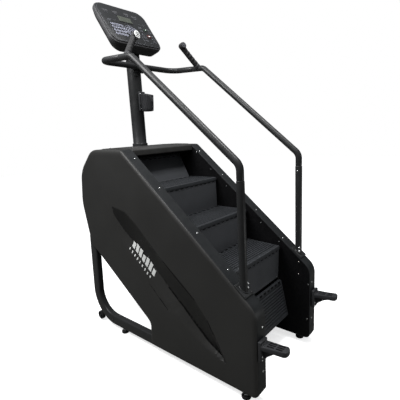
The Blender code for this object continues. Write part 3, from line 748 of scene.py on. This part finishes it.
# ---- horn grips
HORN_R = .0195
HEAD_R = .0245
SLEEVE_START, SLEEVE_STEPS, SLEEVE_SIDES = .028, 72, 32
for side, s in SIDES:
    head_r = HEAD_R if s < 0 else HEAD_R - .0022
    foot = Vector((s * .319, .19, 1.829))
    tip = Vector((s * .193, .246, 1.984))
    d = (tip - foot).normalized()
    span = (tip - foot).length
    front = Vector((0, -1.0, 0))
    front = (front - d * front.dot(d)).normalized()
    across = d.cross(front)
    bm = bmesh.new()
    rings = []
    for i in range(SLEEVE_STEPS + 1):
        t = SLEEVE_START + (span - SLEEVE_START) * i / SLEEVE_STEPS
        r = HORN_R
        if t < .036:
            r = .015 + (HORN_R - .015) * ease((t - SLEEVE_START) / .008)
        if t > span - .018:
            k = (t - (span - .018)) / .018
            r = HORN_R * sqrt(max(.03, 1 - k * k * .96))
        bump = 0
        if .048 < t < span - .06:
            bump = .003 * (.5 - .5 * cos(2 * pi * (t - .048) / .026))
        ring = []
        for j in range(SLEEVE_SIDES):
            a = 2 * pi * j / SLEEVE_SIDES
            q = r - bump * max(0, cos(a))
            if .04 < t < span - .05 and abs(cos(a)) < .85 and i % 2:
                q -= .0005
            ring.append(foot + d * t + front * (q * cos(a)) + across * (q * sin(a)))
        rings.append(ring)
    loft(bm, rings)
    head = frame_at(foot + d * (span - head_r) + front * .008, front, d)
    lathe(bm, [(head_r - .009, -.013), (head_r - .003, -.01), (head_r - .0006, -.007),
        (head_r, -.003), (head_r, .009), (head_r - .0008, .0116), (head_r - .0024, .013),
        (head_r - .0036, .013), (head_r - .004, .0122), (.004, .0122)], head, 48)
    piece(bm, side + "_grip_sleeve", GRIP, [side + "_horn_grip"], 50)
    m = frame_at(foot + d * (span - head_r) + front * .023, front, d)
    cap = head_r - (.0012 if s < 0 else .0022)
    bm = bmesh.new()
    lathe(bm, [(cap - .004, -.0008), (cap - .004, .0009), (cap - .0003, .0012), (cap, .0018),
        (cap, .003), (cap - .0008, .004), (cap - .003, .0047), (.004, .0052)], m, 48)
    for ang in (30, 150, 270):
        turn = m @ Matrix.Rotation(radians(ang), 4, "Z")
        arm = turn @ shift((.0105, 0, .0049))
        box(bm, (.012, .005, .0012), arm, .0004, 2, 1)
        arm = turn @ Matrix.Rotation(radians(60), 4, "Z") @ shift((.013, 0, .0047))
        box(bm, (.005, .009, .0012), arm, .0004, 2, 1)
    lathe(bm, [(.0036, .0046), (.0036, .0057), (.0028, .006)], m, 24, True, 1)
    piece(bm, side + "_button_cap", BADGE if s < 0 else PLASTIC, [side + "_grip_button"],
        extra=[FACE if s < 0 else PRINT_DIM], body=side + "_grip_button")
    bm = bmesh.new()
    lathe(bm, [(.019, -.004), (.02, 0), (.02, .012), (.018, .018), (.016, .02)],
        frame_at(foot + d * .012, d, front), 32)
    piece(bm, side + "_grip_collar", PLASTIC)

# ---- console
def shell_outline(depth):
    """Rounded outline of the console shell at a depth below its face."""
    k = max(0, (depth - CONSOLE_RIM) / (CONSOLE_T - CONSOLE_RIM))
    half, low, high = CONSOLE_W - .039 * k, .0155 - .0045 * k, CONSOLE_L - .004 * k
    return fillet([(-half, low, .058), (half, low, .058), (half, high, .077), (-half, high, .077)],
        12)


SHAPE = shell_outline(0)


def face_at(x, y, z=0):
    """Matrix of a point on the console face, its Z outwards."""
    return shift(FOOT) @ FACE_M @ shift((x, y, z))


def slab(bm, levels):
    """Stack of outlines parallel to the face, as (z, outline, inset)."""
    loft(bm, [[(p[0], p[1], z) for p in inset(outline, d)] for z, outline, d in levels],
        matrix=face_at(0, 0))


LIFT = .0145            # the printed layout sits this far up the face
SUNK = -.0002           # underside of what is printed on the face


def plaque(bm, x, y, w, h, r, z1, mat=0, spin=0, z0=SUNK):
    """Thin raised rounded rectangle on the console face."""
    shape = rect(w / 2, h / 2, r, 5)
    edge = min(.0003, (z1 - z0) * .4)
    loft(bm, [[(p[0], p[1], z) for p in inset(shape, d)]
        for z, d in ((z0, 0), (z1 - edge, 0), (z1, edge))],
        matrix=face_at(x, y + LIFT) @ Matrix.Rotation(spin, 4, "Z"), mat=mat)


def outline_band(bm, shape, width, z1, mat=0):
    """Thin raised line that follows a closed outline."""
    inner = inset(shape, width)
    sets = [[(p[0], p[1], SUNK) for p in shape], [(p[0], p[1], z1) for p in shape],
        [(p[0], p[1], z1) for p in inner], [(p[0], p[1], SUNK) for p in inner]]
    loops = loft(bm, sets, cap=False, matrix=face_at(0, LIFT), mat=mat)
    bridge(bm, loops[3], loops[0], mat)


def arc_band(bm, cx, cy, r, width, a0, a1, z1, count=30):
    """Thin raised arc between two angles in degrees."""
    rings = []
    for i in range(count + 1):
        a = radians(a0 + (a1 - a0) * i / count)
        c, s2 = cos(a), sin(a)
        rings.append([(cx + q * c, cy + q * s2, z) for q, z in ((r, SUNK), (r, z1), (r + width, z1),
            (r + width, SUNK))])
    loft(bm, rings, matrix=face_at(0, LIFT))


bm = bmesh.new()
SHELL = ((-CONSOLE_T, .007), (-CONSOLE_T + .0012, .0035), (-CONSOLE_T + .0045, .0008), (-.06, 0),
    (-.045, 0), (-.034, 0), (-.0305, .0004), (-.03, .0016), (-.0288, .0016), (-.0283, .0004),
    (-.0275, 0), (-.014, 0), (-.0095, .001), (-.0068, .004), (-.006, .0075))
slab(bm, [(z, shell_outline(-z), d) for z, d in SHELL])
piece(bm, "console_shell", HOUSING, ["console_housing"], 26)
FACE_SHAPE = inset(SHAPE, .01)
bm = bmesh.new()
slab(bm, [(z, FACE_SHAPE, d) for z, d in ((-.0057, 0), (-.0016, 0), (-.0004, .0005), (0, .0016))])
piece(bm, "console_fascia", FACE, ["console_face"], 30)
bm = bmesh.new()
rim = [p - Vector((0, LIFT)) for p in inset(FACE_SHAPE, .006)]
outline_band(bm, rim, .0007, .0003)
lower = fillet([(-.176, .022, .02), (.066, .022, .03), (.072, .12, .05), (-.02, .205, .04),
    (-.172, .205, .02)], 8)
outline_band(bm, lower, .0012, .0005)
piece(bm, "fascia_lines", PRINT_DIM)

# display with its bezel and generic segment blocks
bm = bmesh.new()
frame_shape = rect(.06, .029, .004, 5, -.008, .231)
outline_band(bm, frame_shape, .0055, .0012, 1)
plaque(bm, -.008, .231, .108, .048, .0015, .0032, z0=.0003)
piece(bm, "display_screen", LCD, ["display"], extra=[FACE])
bm = bmesh.new()
for row, z in enumerate((.219, .239)):
    for i in range(9):
        x = -.052 + i * .011
        if (i * 7 + row * 3) % 5:
            plaque(bm, x, z, .0062, .0085, .0008, .0034, z0=.003)
            plaque(bm, x, z, .0034, .0052, .0006, .0035, mat=1, z0=.0033)
piece(bm, "display_segments", SEGMENT, extra=[LCD])

# small windows round the display, then two label fields and a row of dots
bm = bmesh.new()
for x, y, w in ((-.143, .285, .044), (-.064, .288, .044), (.034, .294, .04), (.1, .286, .05)):
    plaque(bm, x, y, w, .021, .003, .001, mat=1)
    for i in range(3):
        cx = x - w * .27 + i * w * .27
        for dy in (-.0042, 0, .0042):
            plaque(bm, cx, y + dy, .006, .0011, .0004, .0013, z0=.0009)
        for dx in (-.0028, .0028):
            plaque(bm, cx + dx, y + .0021, .0011, .0036, .0004, .0013, z0=.0009)
    plaque(bm, x, y - .0155, w * .62, .0024, .0008, .0005)
piece(bm, "value_windows", PRINT_DIM, extra=[HOUSING])
bm = bmesh.new()
plaque(bm, -.15, .2, .026, .005, .0015, .0006)
plaque(bm, -.15, .191, .018, .003, .0012, .0006)
for i in range(5):
    plaque(bm, .108 + i * .013, .222, .006, .0024, .001, .0006)
piece(bm, "label_fields", PRINT_DIM)

# keypad: four columns and four rows of oval keys with pale rims
bm = bmesh.new()
for row in range(4):
    for col in range(4):
        cx, cy = -.148 + col * .0262, .164 - row * .0285
        shape = rect(.0105, .0092, .0055, 5, cx, cy)
        outline_band(bm, shape, .0026, .0009)
        plaque(bm, cx, cy, .0085, .0046, .0016, .0012)
piece(bm, "keypad_keys", PRINT)
bm = bmesh.new()
for r, width, a0, a1 in ((.056, .0022, -20, 200), (.043, .003, -60, 240), (.027, .004, 30, 330),
        (.013, .0028, 0, 180)):
    arc_band(bm, -.002, .122, r, width, a0, a1, .0009)
piece(bm, "dial_arcs", PRINT)
bm = bmesh.new()
plaque(bm, -.002, .122, .014, .014, .0068, .0022)
for ang in range(0, 360, 45):
    a = radians(ang)
    plaque(bm, -.002 + .035 * cos(a), .122 + .035 * sin(a), .0055, .003, .0012, .001, spin=a)
piece(bm, "dial_keys", PRINT_DIM)

# right-hand groups: outlined keys round the start and stop buttons
bm = bmesh.new()
for row in range(5):
    for cx in (.096, .172):
        cy = .186 - row * .03
        shape = rect(.0105, .008, .004, 4, cx, cy)
        outline_band(bm, shape, .0017, .0008)
        plaque(bm, cx, cy, .0075, .0022, .0008, .001)
plaque(bm, .134, .048, .03, .0022, .0008, .0006)
piece(bm, "side_keys", PRINT_DIM)

for key, kx, ky, kr, mat in (("start_key", .14, .1865, .011, GREEN),
        ("stop_key", .14, .1265, .0165, RED)):
    bm = bmesh.new()
    lathe(bm, [(kr, -.0036), (kr, .0026), (kr - .0004, .0036), (kr - .0014, .0043),
        (kr - .004, .0044), (.002, .0038)], face_at(kx, ky), 40)
    if key == "start_key":
        sides = [(-.0028, -.004), (.0046, 0), (-.0028, .004)]
    else:
        sides = [(-.005, -.005), (.005, -.005), (.005, .005), (-.005, .005)]
    loft(bm, [[(a, b, z) for a, b in sides] for z in (.0036, .0049)], matrix=face_at(kx, ky), mat=1)
    piece(bm, key + "_cap", mat, [key], extra=[BADGE], body=key)
    bm = bmesh.new()
    lathe(bm, [(kr + .004, -.0002), (kr + .004, .0008), (kr + .0032, .0016), (kr + .0012, .0016),
        (kr + .0008, .0002)], face_at(kx, ky), 40)
    piece(bm, key + "_ring", HOUSING)

# back of the console: vent slots and screws
bm = bmesh.new()
for i in range(6):
    for cx in (-.11, .11):
        box(bm, (.052, .004, .0022), face_at(cx, .23 + i * .011, -CONSOLE_T - .0004), .0008)
for x, y in ((-.14, .06), (.14, .06), (-.125, .29), (.125, .29)):
    lathe(bm, [(.0065, 0), (.0065, -.002), (.005, -.0028), (.003, -.0028)],
        face_at(x, y, -CONSOLE_T), 20)
piece(bm, "console_back_details", PLASTIC)

# ---- foot pegs
PEG_X, PEG_Z, PEG_ROOT, PEG_TIP = .325, .352, -.668, -.8
for side, s in SIDES:
    x = s * PEG_X
    bm = bmesh.new()
    plan = fillet([(-.033, PEG_ROOT, .001), (-.027, PEG_TIP, .022), (.027, PEG_TIP, .022),
        (.033, PEG_ROOT, .001)], 8)
    rings = []
    for z, d, lean in ((-.02, .004, -.06), (-.019, .0022, -.06), (-.012, 0, -.06), (.001, 0, -.1),
            (.0026, .0006, -.1), (.0032, .0022, -.1)):
        rings.append([(x + p.x, p.y, PEG_Z + z + (p.y - PEG_ROOT) * lean) for p in inset(plan, d)])
    loft(bm, rings)
    tilt = Matrix.Rotation(atan(-.1), 4, "X")

    def deck(dx, y, z=.0032):
        return shift((x + dx, y, PEG_Z + z + (y - PEG_ROOT) * -.1)) @ tilt

    # raised rails on the deck, with long slots between them as dark blocks of painted shade
    for dx, length in ((-.0255, .106), (-.0085, .118), (.0085, .118), (.0255, .106)):
        lean = Matrix.Rotation(dx * 1.6, 4, "Z")
        box(bm, (.0052, length, .0034), deck(dx * .9, -.734) @ lean, .0012, 3)
    for y in (-.688, -.736, -.78):
        box(bm, (.048, .006, .003), deck(0, y), .001, 2)
    for dx in (-.017, 0, .017):
        for y, length in ((-.712, .038), (-.758, .034)):
            box(bm, (.01, length, .0012), deck(dx * .92, y, .0032), .0003, 2, 1)
    box(bm, (.066, .018, .112), shift((x, -.661, .318)), .0045, 4)
    box(bm, (.054, .01, .03), shift((x, -.67, .346)), .0035, 3)
    web = fillet([(-.664, .272, .004), (-.664, .345, .001), (-.786, .35, .002), (-.78, .338, .004),
        (-.72, .316, .05)], 5)
    strip(bm, web, .0045, .0012, centre=x)
    piece(bm, side + "_peg", PLASTIC, [side + "_foot_peg"], extra=[RECESS_SHADE])
    bm = bmesh.new()
    for z in (.274, .292):
        for dx in (-.021, .021):
            screw_head(bm, (x + dx, -.6702, z), (0, -1, 0), .0046, .0028)
    piece(bm, side + "_peg_screws", STEEL, extra=[RECESS_SHADE])

# ---- revolving stairs
RUN = STEP_PITCH * cos(SLOPE)
RISE = STEP_PITCH * sin(SLOPE)
COMB_PITCH = .046


def pin(s):
    """Point of the chain loop at a travel s from the foot of the upper run."""
    half = pi * SPROCKET_R
    s = s % (2 * STRAIGHT + 2 * half)
    if s < STRAIGHT:
        return LOWER_AXIS + N * SPROCKET_R + U * s
    s -= STRAIGHT
    if s < half:
        return UPPER + rotated(N, -s / SPROCKET_R) * SPROCKET_R
    s -= half
    if s < STRAIGHT:
        return UPPER - N * SPROCKET_R - U * s
    s -= STRAIGHT
    return LOWER_AXIS + rotated(-N, -s / SPROCKET_R) * SPROCKET_R


def ribbed(length, t, pitch, depth, start, end):
    """Ribs across the outer face of a plate, as (along, out) points."""
    top = []
    count = int((length - start - end) / pitch)
    slack = (length - start - end - count * pitch) / 2
    for i in range(count):
        a = start + slack + i * pitch
        top += [(a + .18 * pitch, t - depth), (a + .28 * pitch, t - depth * .15),
            (a + .33 * pitch, t), (a + .67 * pitch, t), (a + .72 * pitch, t - depth * .15),
            (a + .82 * pitch, t - depth)]
    return top


def extrude_local(bm, pts, a, d, out):
    """Extrude (along, out) points across the width of a step."""
    strip(bm, [a + d * p[0] + out * p[1] for p in pts], STEP_HALF_W, .0012)


def bar_local(bm, a, d, out, centre, size, mat=0, bevel=.0008):
    """Small block given in plate coordinates: (x, along, out)."""
    at = a + d * centre[1] + out * centre[2]
    m = Matrix(((1, 0, 0, centre[0]), (0, d.x, out.x, at.x), (0, d.y, out.y, at.y), (0, 0, 0, 1)))
    box(bm, size, m, bevel, 2, mat)


def comb(bm, a, d, out, count, along, lift, size, mat, bevel):
    """Row of small blocks across a plate, centred on the machine."""
    for i in range(count):
        x = (i - (count - 1) / 2) * COMB_PITCH
        bar_local(bm, a, d, out, (x, along, lift), size, mat, bevel)


for k in range(STEPS):
    rear = pin(FIRST_PIN - (k - 1) * STEP_PITCH)
    low = pin(FIRST_PIN - k * STEP_PITCH)
    base = rear - low
    reach = base.length
    part = (RISE ** 2 - RUN ** 2 + reach ** 2) / (2 * reach)
    high = sqrt(RISE ** 2 - part ** 2)
    e = base / reach
    nose = low + e * part + Vector((-e.y, e.x)) * high
    body = {0: "drive", 8: "drive", 4: "idler"}.get(k, "step_%d" % (k + 1))

    # tread: nose lip with a double line, fine ribs and a hinge comb at the rear, the comb's dark
    # blocks painted shade
    d = (rear - nose).normalized()
    out = Vector((-d.y, d.x))
    length = (rear - nose).length
    bm = bmesh.new()
    t = TREAD_T
    lip = [(-.004, .002), (-.0036, t - .005), (-.002, t - .0014), (.001, t), (.0085, t),
        (.0092, t - .0012), (.0108, t - .0012), (.0115, t), (.019, t), (.0202, t - .0016)]
    ribs = ribbed(length - .008, t, .018, .0042, .021, .023)
    tail = [(length - .03, t - .002), (length - .029, t - .001), (length - .011, t - .001),
        (length - .0082, t - .003), (length - .008, .0015), (length - .0095, 0), (-.003, 0)]
    extrude_local(bm, lip + ribs + tail, nose, d, out)
    # end caps of the moulding, slightly proud of the ribs
    for sx in (-1, 1):
        bar_local(bm, nose, d, out, (sx * (STEP_HALF_W - .006), length / 2, t - .0052),
            (.011, length - .018, .0106), 0, .0012)
    comb(bm, nose, d, out, 11, length - .018, t - .0009, (.027, .0125, .0008), 1, .0003)
    piece(bm, "tread_plate_%d" % (k + 1), STEP_PAINTED_SHADE, ["tread_%d" % (k + 1)], 24, extra=[RECESS_SHADE], body=body)

    # riser: plain face, dashed hinge slots below the nose as dark blocks of painted shade
    corner = (low - nose).angle(rear - nose)
    trim = .0004 + max(0, RISER_T / tan(corner))
    d2 = (nose - low).normalized()
    back = Vector((d2.y, -d2.x))
    tall = (nose - low).length
    start, end = .01, tall - trim
    bm = bmesh.new()
    face = [(start, .0012), (start + .0012, 0), (end - .017, 0), (end - .0162, .0012),
        (end - .0148, .0012), (end - .014, 0), (end - .0012, 0), (end, .0012), (end, RISER_T),
        (start, RISER_T)]
    extrude_local(bm, face, low, d2, back)
    comb(bm, low, d2, back, 11, end - .0068, .0002, (.027, .0052, .001), 1, .0003)
    comb(bm, low, d2, back, 10, start + .008, .0003, (.03, .013, .0012), 0, .0004)
    piece(bm, "riser_plate_%d" % (k + 1), RISER_PAINTED_LIGHT, ["riser_%d" % (k + 1)], 24, extra=[RECESS_SHADE],
        body=body)

# ---- transport wheels and feet
for side, s in SIDES:
    lo, hi = (Vector(v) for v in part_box(side + "_wheel"))
    c = (lo + hi) / 2
    half = (hi.x - lo.x) / 2
    rad = (hi.z - lo.z) / 2
    bm = bmesh.new()
    m = shift(c) @ Matrix.Rotation(pi / 2, 4, "Y")
    tyre = [(rad * .64, -half + .001), (rad * .92, -half), (rad * .98, -half * .86),
        (rad, -half * .6), (rad, -half * .1), (rad * .985, 0), (rad, half * .1), (rad, half * .6),
        (rad * .98, half * .86), (rad * .92, half), (rad * .64, half - .001)]
    lathe(bm, tyre, m, 48)
    hub = [(rad * .63, half - .001), (rad * .6, half - .0002), (rad * .5, half - .003),
        (rad * .34, half - .003), (rad * .3, half - .0004), (rad * .12, half - .0004)]
    lathe(bm, hub, m, 36, True, 1)
    lathe(bm, [(r, -h) for r, h in reversed(hub)], m, 36, True, 1)
    for i in range(5):
        spoke = m @ Matrix.Rotation(2 * pi * i / 5, 4, "Z")
        for z in (-half + .0024, half - .0024):
            box(bm, (rad * .24, .0032, .003), spoke @ shift((rad * .46, 0, z)), .0008, 2, 1)
    piece(bm, side + "_wheel_tyre", RUBBER, [side + "_wheel"], extra=[PLASTIC],
        body=side + "_wheel")

for side, s in SIDES:
    for end in ("front", "rear"):
        name = "%s_%s_foot" % (side, end)
        lo, hi = (Vector(v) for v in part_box(name))
        c = (lo + hi) / 2
        r = (hi.x - lo.x) / 2
        top = hi.z - lo.z
        bm = bmesh.new()
        pad = [(r - .004, 0), (r - .0012, .0012), (r, .004), (r, top * .34), (r * .93, top * .42),
            (r * .55, top * .5), (r * .5, top * .52)]
        lathe(bm, pad, shift((c.x, c.y, lo.z)), 40)
        nut = [(r * .62, top * .5), (r * .64, top * .53), (r * .64, top * .72), (r * .6, top * .75)]
        lathe(bm, nut, shift((c.x, c.y, lo.z)), 6, True, 1)
        lathe(bm, [(r * .3, top * .7), (r * .3, top)], shift((c.x, c.y, lo.z)), 20, True, 1)
        piece(bm, name + "_pad", RUBBER, [name], extra=[STEEL])

# ---- power inlet
tilt = shift((.12, .78176, .79858)) @ Matrix.Rotation(radians(-12.7), 4, "X")
lo, hi = (Vector(v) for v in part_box("power_inlet"))
bm = bmesh.new()
PW, PH = (hi.x - lo.x), .05
box(bm, (PW, .012, PH), tilt, .0025, 3)
# the two dark blocks are painted shade for openings in the inlet; the pins are steel
box(bm, (.03, .0012, .024), tilt @ shift((-PW * .2, .0056, 0)), .0005, 2, 1)
box(bm, (.018, .003, .026), tilt @ shift((PW * .27, .0054, 0)), .0012, 3, 1)
for dx, dz in ((-.007, -.003), (.007, -.003), (0, .005)):
    box(bm, (.0018, .001, .006), tilt @ shift((-PW * .2 + dx, .0062, dz)), .0003, 2, 2)
piece(bm, "power_inlet_socket", PLASTIC, ["power_inlet"], extra=[RECESS_SHADE, STEEL])

# ---- screws along the flanges and the inner walls
def onto_outline(p):
    """Nearest point of the panel outline and the outward normal there."""
    best, at, normal = inf, None, None
    for i in range(len(OUTLINE)):
        a, b = OUTLINE[i - 1], OUTLINE[i]
        ab = b - a
        if ab.length < 1e-9:
            continue
        t = max(0, min(1.0, (p - a).dot(ab) / ab.length_squared))
        q = a + ab * t
        if (p - q).length < best:
            n = Vector((ab.y, -ab.x)).normalized()
            best, at, normal = (p - q).length, q, n
    area = sum(OUTLINE[i - 1].x * OUTLINE[i].y - OUTLINE[i].x * OUTLINE[i - 1].y
        for i in range(len(OUTLINE)))
    return at, normal if area > 0 else -normal


FLANGE_SCREWS = ((-.65, .182), (-.65, .427), (-.457, .684), (-.261, .852), (.012, 1.08),
    (.212, 1.251), (.78, 1.0), (.76, .78))
WALL_SCREWS = ((.219, 1.245), (.091, 1.125), (-.043, 1.011), (-.314, .78), (-.445, .671),
    (-.58, .558), (-.578, .478), (-.641, .424), (-.635, .188))
for side, s in SIDES:
    bm = bmesh.new()
    for y, z in FLANGE_SCREWS:
        at, n = onto_outline(Vector((y, z)))
        screw_head(bm, (s * .307, at.x, at.y), (0, n.x, n.y), .0056, .0026)
    for y, z in WALL_SCREWS:
        screw_head(bm, (s * (FLANGE_X - .0002), y + .004, z - .006), (-s, 0, 0), .0048, .0024)
    piece(bm, side + "_panel_screws", BOLT, extra=[RECESS_SHADE])

# ---- generic slanted mark on the outer panels
MARK_LEAN = .35           # how far the bars lean along the incline


def mark_bar(bm, s, c, length, width):
    """Thin raised parallelogram that follows the incline."""
    run = U * length
    up = (N + U * MARK_LEAN).normalized() * width
    shape = [c, c + run, c + run + up, c + up]
    rings = [[(s * (PANEL_X - BASE_SINK - relief(p) - .004), p.x, p.y) for p in shape],
        [(s * (PANEL_X - BASE_SINK - relief(p) + .0016), p.x, p.y) for p in shape]]
    loft(bm, rings)


for side, s in SIDES:
    bm = bmesh.new()
    origin = Vector((.068, .536))
    for i in range(7):
        mark_bar(bm, s, origin + U * (.037 * i), .026, .05 if i % 3 else .036)
    for i in range(9):
        mark_bar(bm, s, origin + U * (.012 + .029 * i) - N * .03, .0085, .014)
    piece(bm, side + "_slanted_mark", MARK)

# ---- finishes of the inner nodes
for side, _ in SIDES:
    dress(side + "_inner_wall", WALL)
    dress(side + "_chain", STEEL)
for name, mat in (("front_cross_member", FRAME), ("rear_cross_member", FRAME),
        ("upper_cross_beam", FRAME), ("brake_housing", PLASTIC), ("upper_shaft", STEEL),
        ("lower_shaft", STEEL), ("flywheel", STEEL)):
    dress(name, mat)

# ---- floor, light and camera
FLOOR_HALF, FLOOR_Z, FLOOR_LIFT = 14, -.0005, .68
me = bpy.data.meshes.new("studio_floor")
me.from_pydata([(a * FLOOR_HALF, b * FLOOR_HALF, FLOOR_Z)
    for a, b in ((-1, -1), (1, -1), (1, 1), (-1, 1))], [], [(0, 1, 2, 3)])
floor = place("studio_floor", me)
paper = surface("floor_white", (.9, .9, .9), .9, vary=.004, grain=60, bump=.01, wear=0, cloud=.4,
    spec=0)
nt = paper.node_tree
inputs = nt.nodes["Principled BSDF"].inputs
seen = add(nt, "LightPath").outputs["Is Camera Ray"]
feed(nt, inputs["Emission Color"], (1, 1, 1))
feed(nt, inputs["Emission Strength"], times(nt, seen, FLOOR_LIFT))
tone = inputs["Base Color"]
feed(nt, tone, mixed(nt, seen, (.16, .16, .15), tone.links[0].from_socket))
me.materials.append(paper)


def light(name, kind, at, towards, power, **values):
    """Lamp at a point that shines along a direction."""
    data = bpy.data.lights.new(name, kind)
    data.energy = power
    for key, value in values.items():
        setattr(data, key, value)
    ob = place(name, data)
    ob.location = at
    ob.rotation_euler = Vector(towards).to_track_quat("-Z", "Y").to_euler()


light("overhead_softbox", "SUN", (0, 0, 0), (.3, .12, -.94), .6, angle=radians(60))
for name, at, target, (width, depth), power in (("left_panel", (-1.5, .6, 2.9), (-.36, .3, .9),
        (1.2, 1.2), 80), ("entry_panel", (0, -.9, 3.9), (0, 0, .8), (1.2, .8), 75),
        ("entry_fill", (.35, -1.9, .45), (0, -.4, .45), (.8, .5), 3.5)):
    light(name, "AREA", at, Vector(target) - Vector(at), power, shape="RECTANGLE", size=width,
        size_y=depth)

# white backdrop for the eye, a dim room with a bright ceiling for the light
world = bpy.data.worlds.new("studio")
world.use_nodes = True
nt = world.node_tree
ground = nt.nodes["Background"]
split = add(nt, "SeparateXYZ", add(nt, "TexCoord").outputs["Generated"])
height = ranged(nt, split.outputs["Z"], .05, .36, 0, .9, "SMOOTHSTEP")
feed(nt, ground.inputs["Strength"], height)
feed(nt, ground.inputs["Color"], (.95, .98, 1.0))
backdrop = add(nt, "Background", Strength=1.0, Color=(1, 1, 1))
blend = add(nt, "MixShader", add(nt, "LightPath").outputs["Is Camera Ray"], ground.outputs[0],
    backdrop.outputs[0])
feed(nt, nt.nodes["World Output"].inputs["Surface"], blend.outputs[0])
bpy.context.scene.world = world
bpy.context.scene.view_settings.view_transform = "Standard"

data = bpy.data.cameras.new("view")
data.sensor_width = 36.0
data.lens = 30.33
cam = place("view", data)
az, el, roll = radians(-49.218), radians(11.17), radians(-3.171)
backward = Vector((sin(az) * cos(el), -cos(az) * cos(el), sin(el)))
right = (-backward).cross(Vector((0, 0, 1))).normalized()
up = right.cross(-backward)
m = Matrix((right * cos(roll) + up * sin(roll), up * cos(roll) - right * sin(roll),
    backward)).transposed().to_4x4()
m.translation = Vector((-1.622, -1.4261, 1.3782))
cam.matrix_world = m
bpy.context.scene.camera = cam
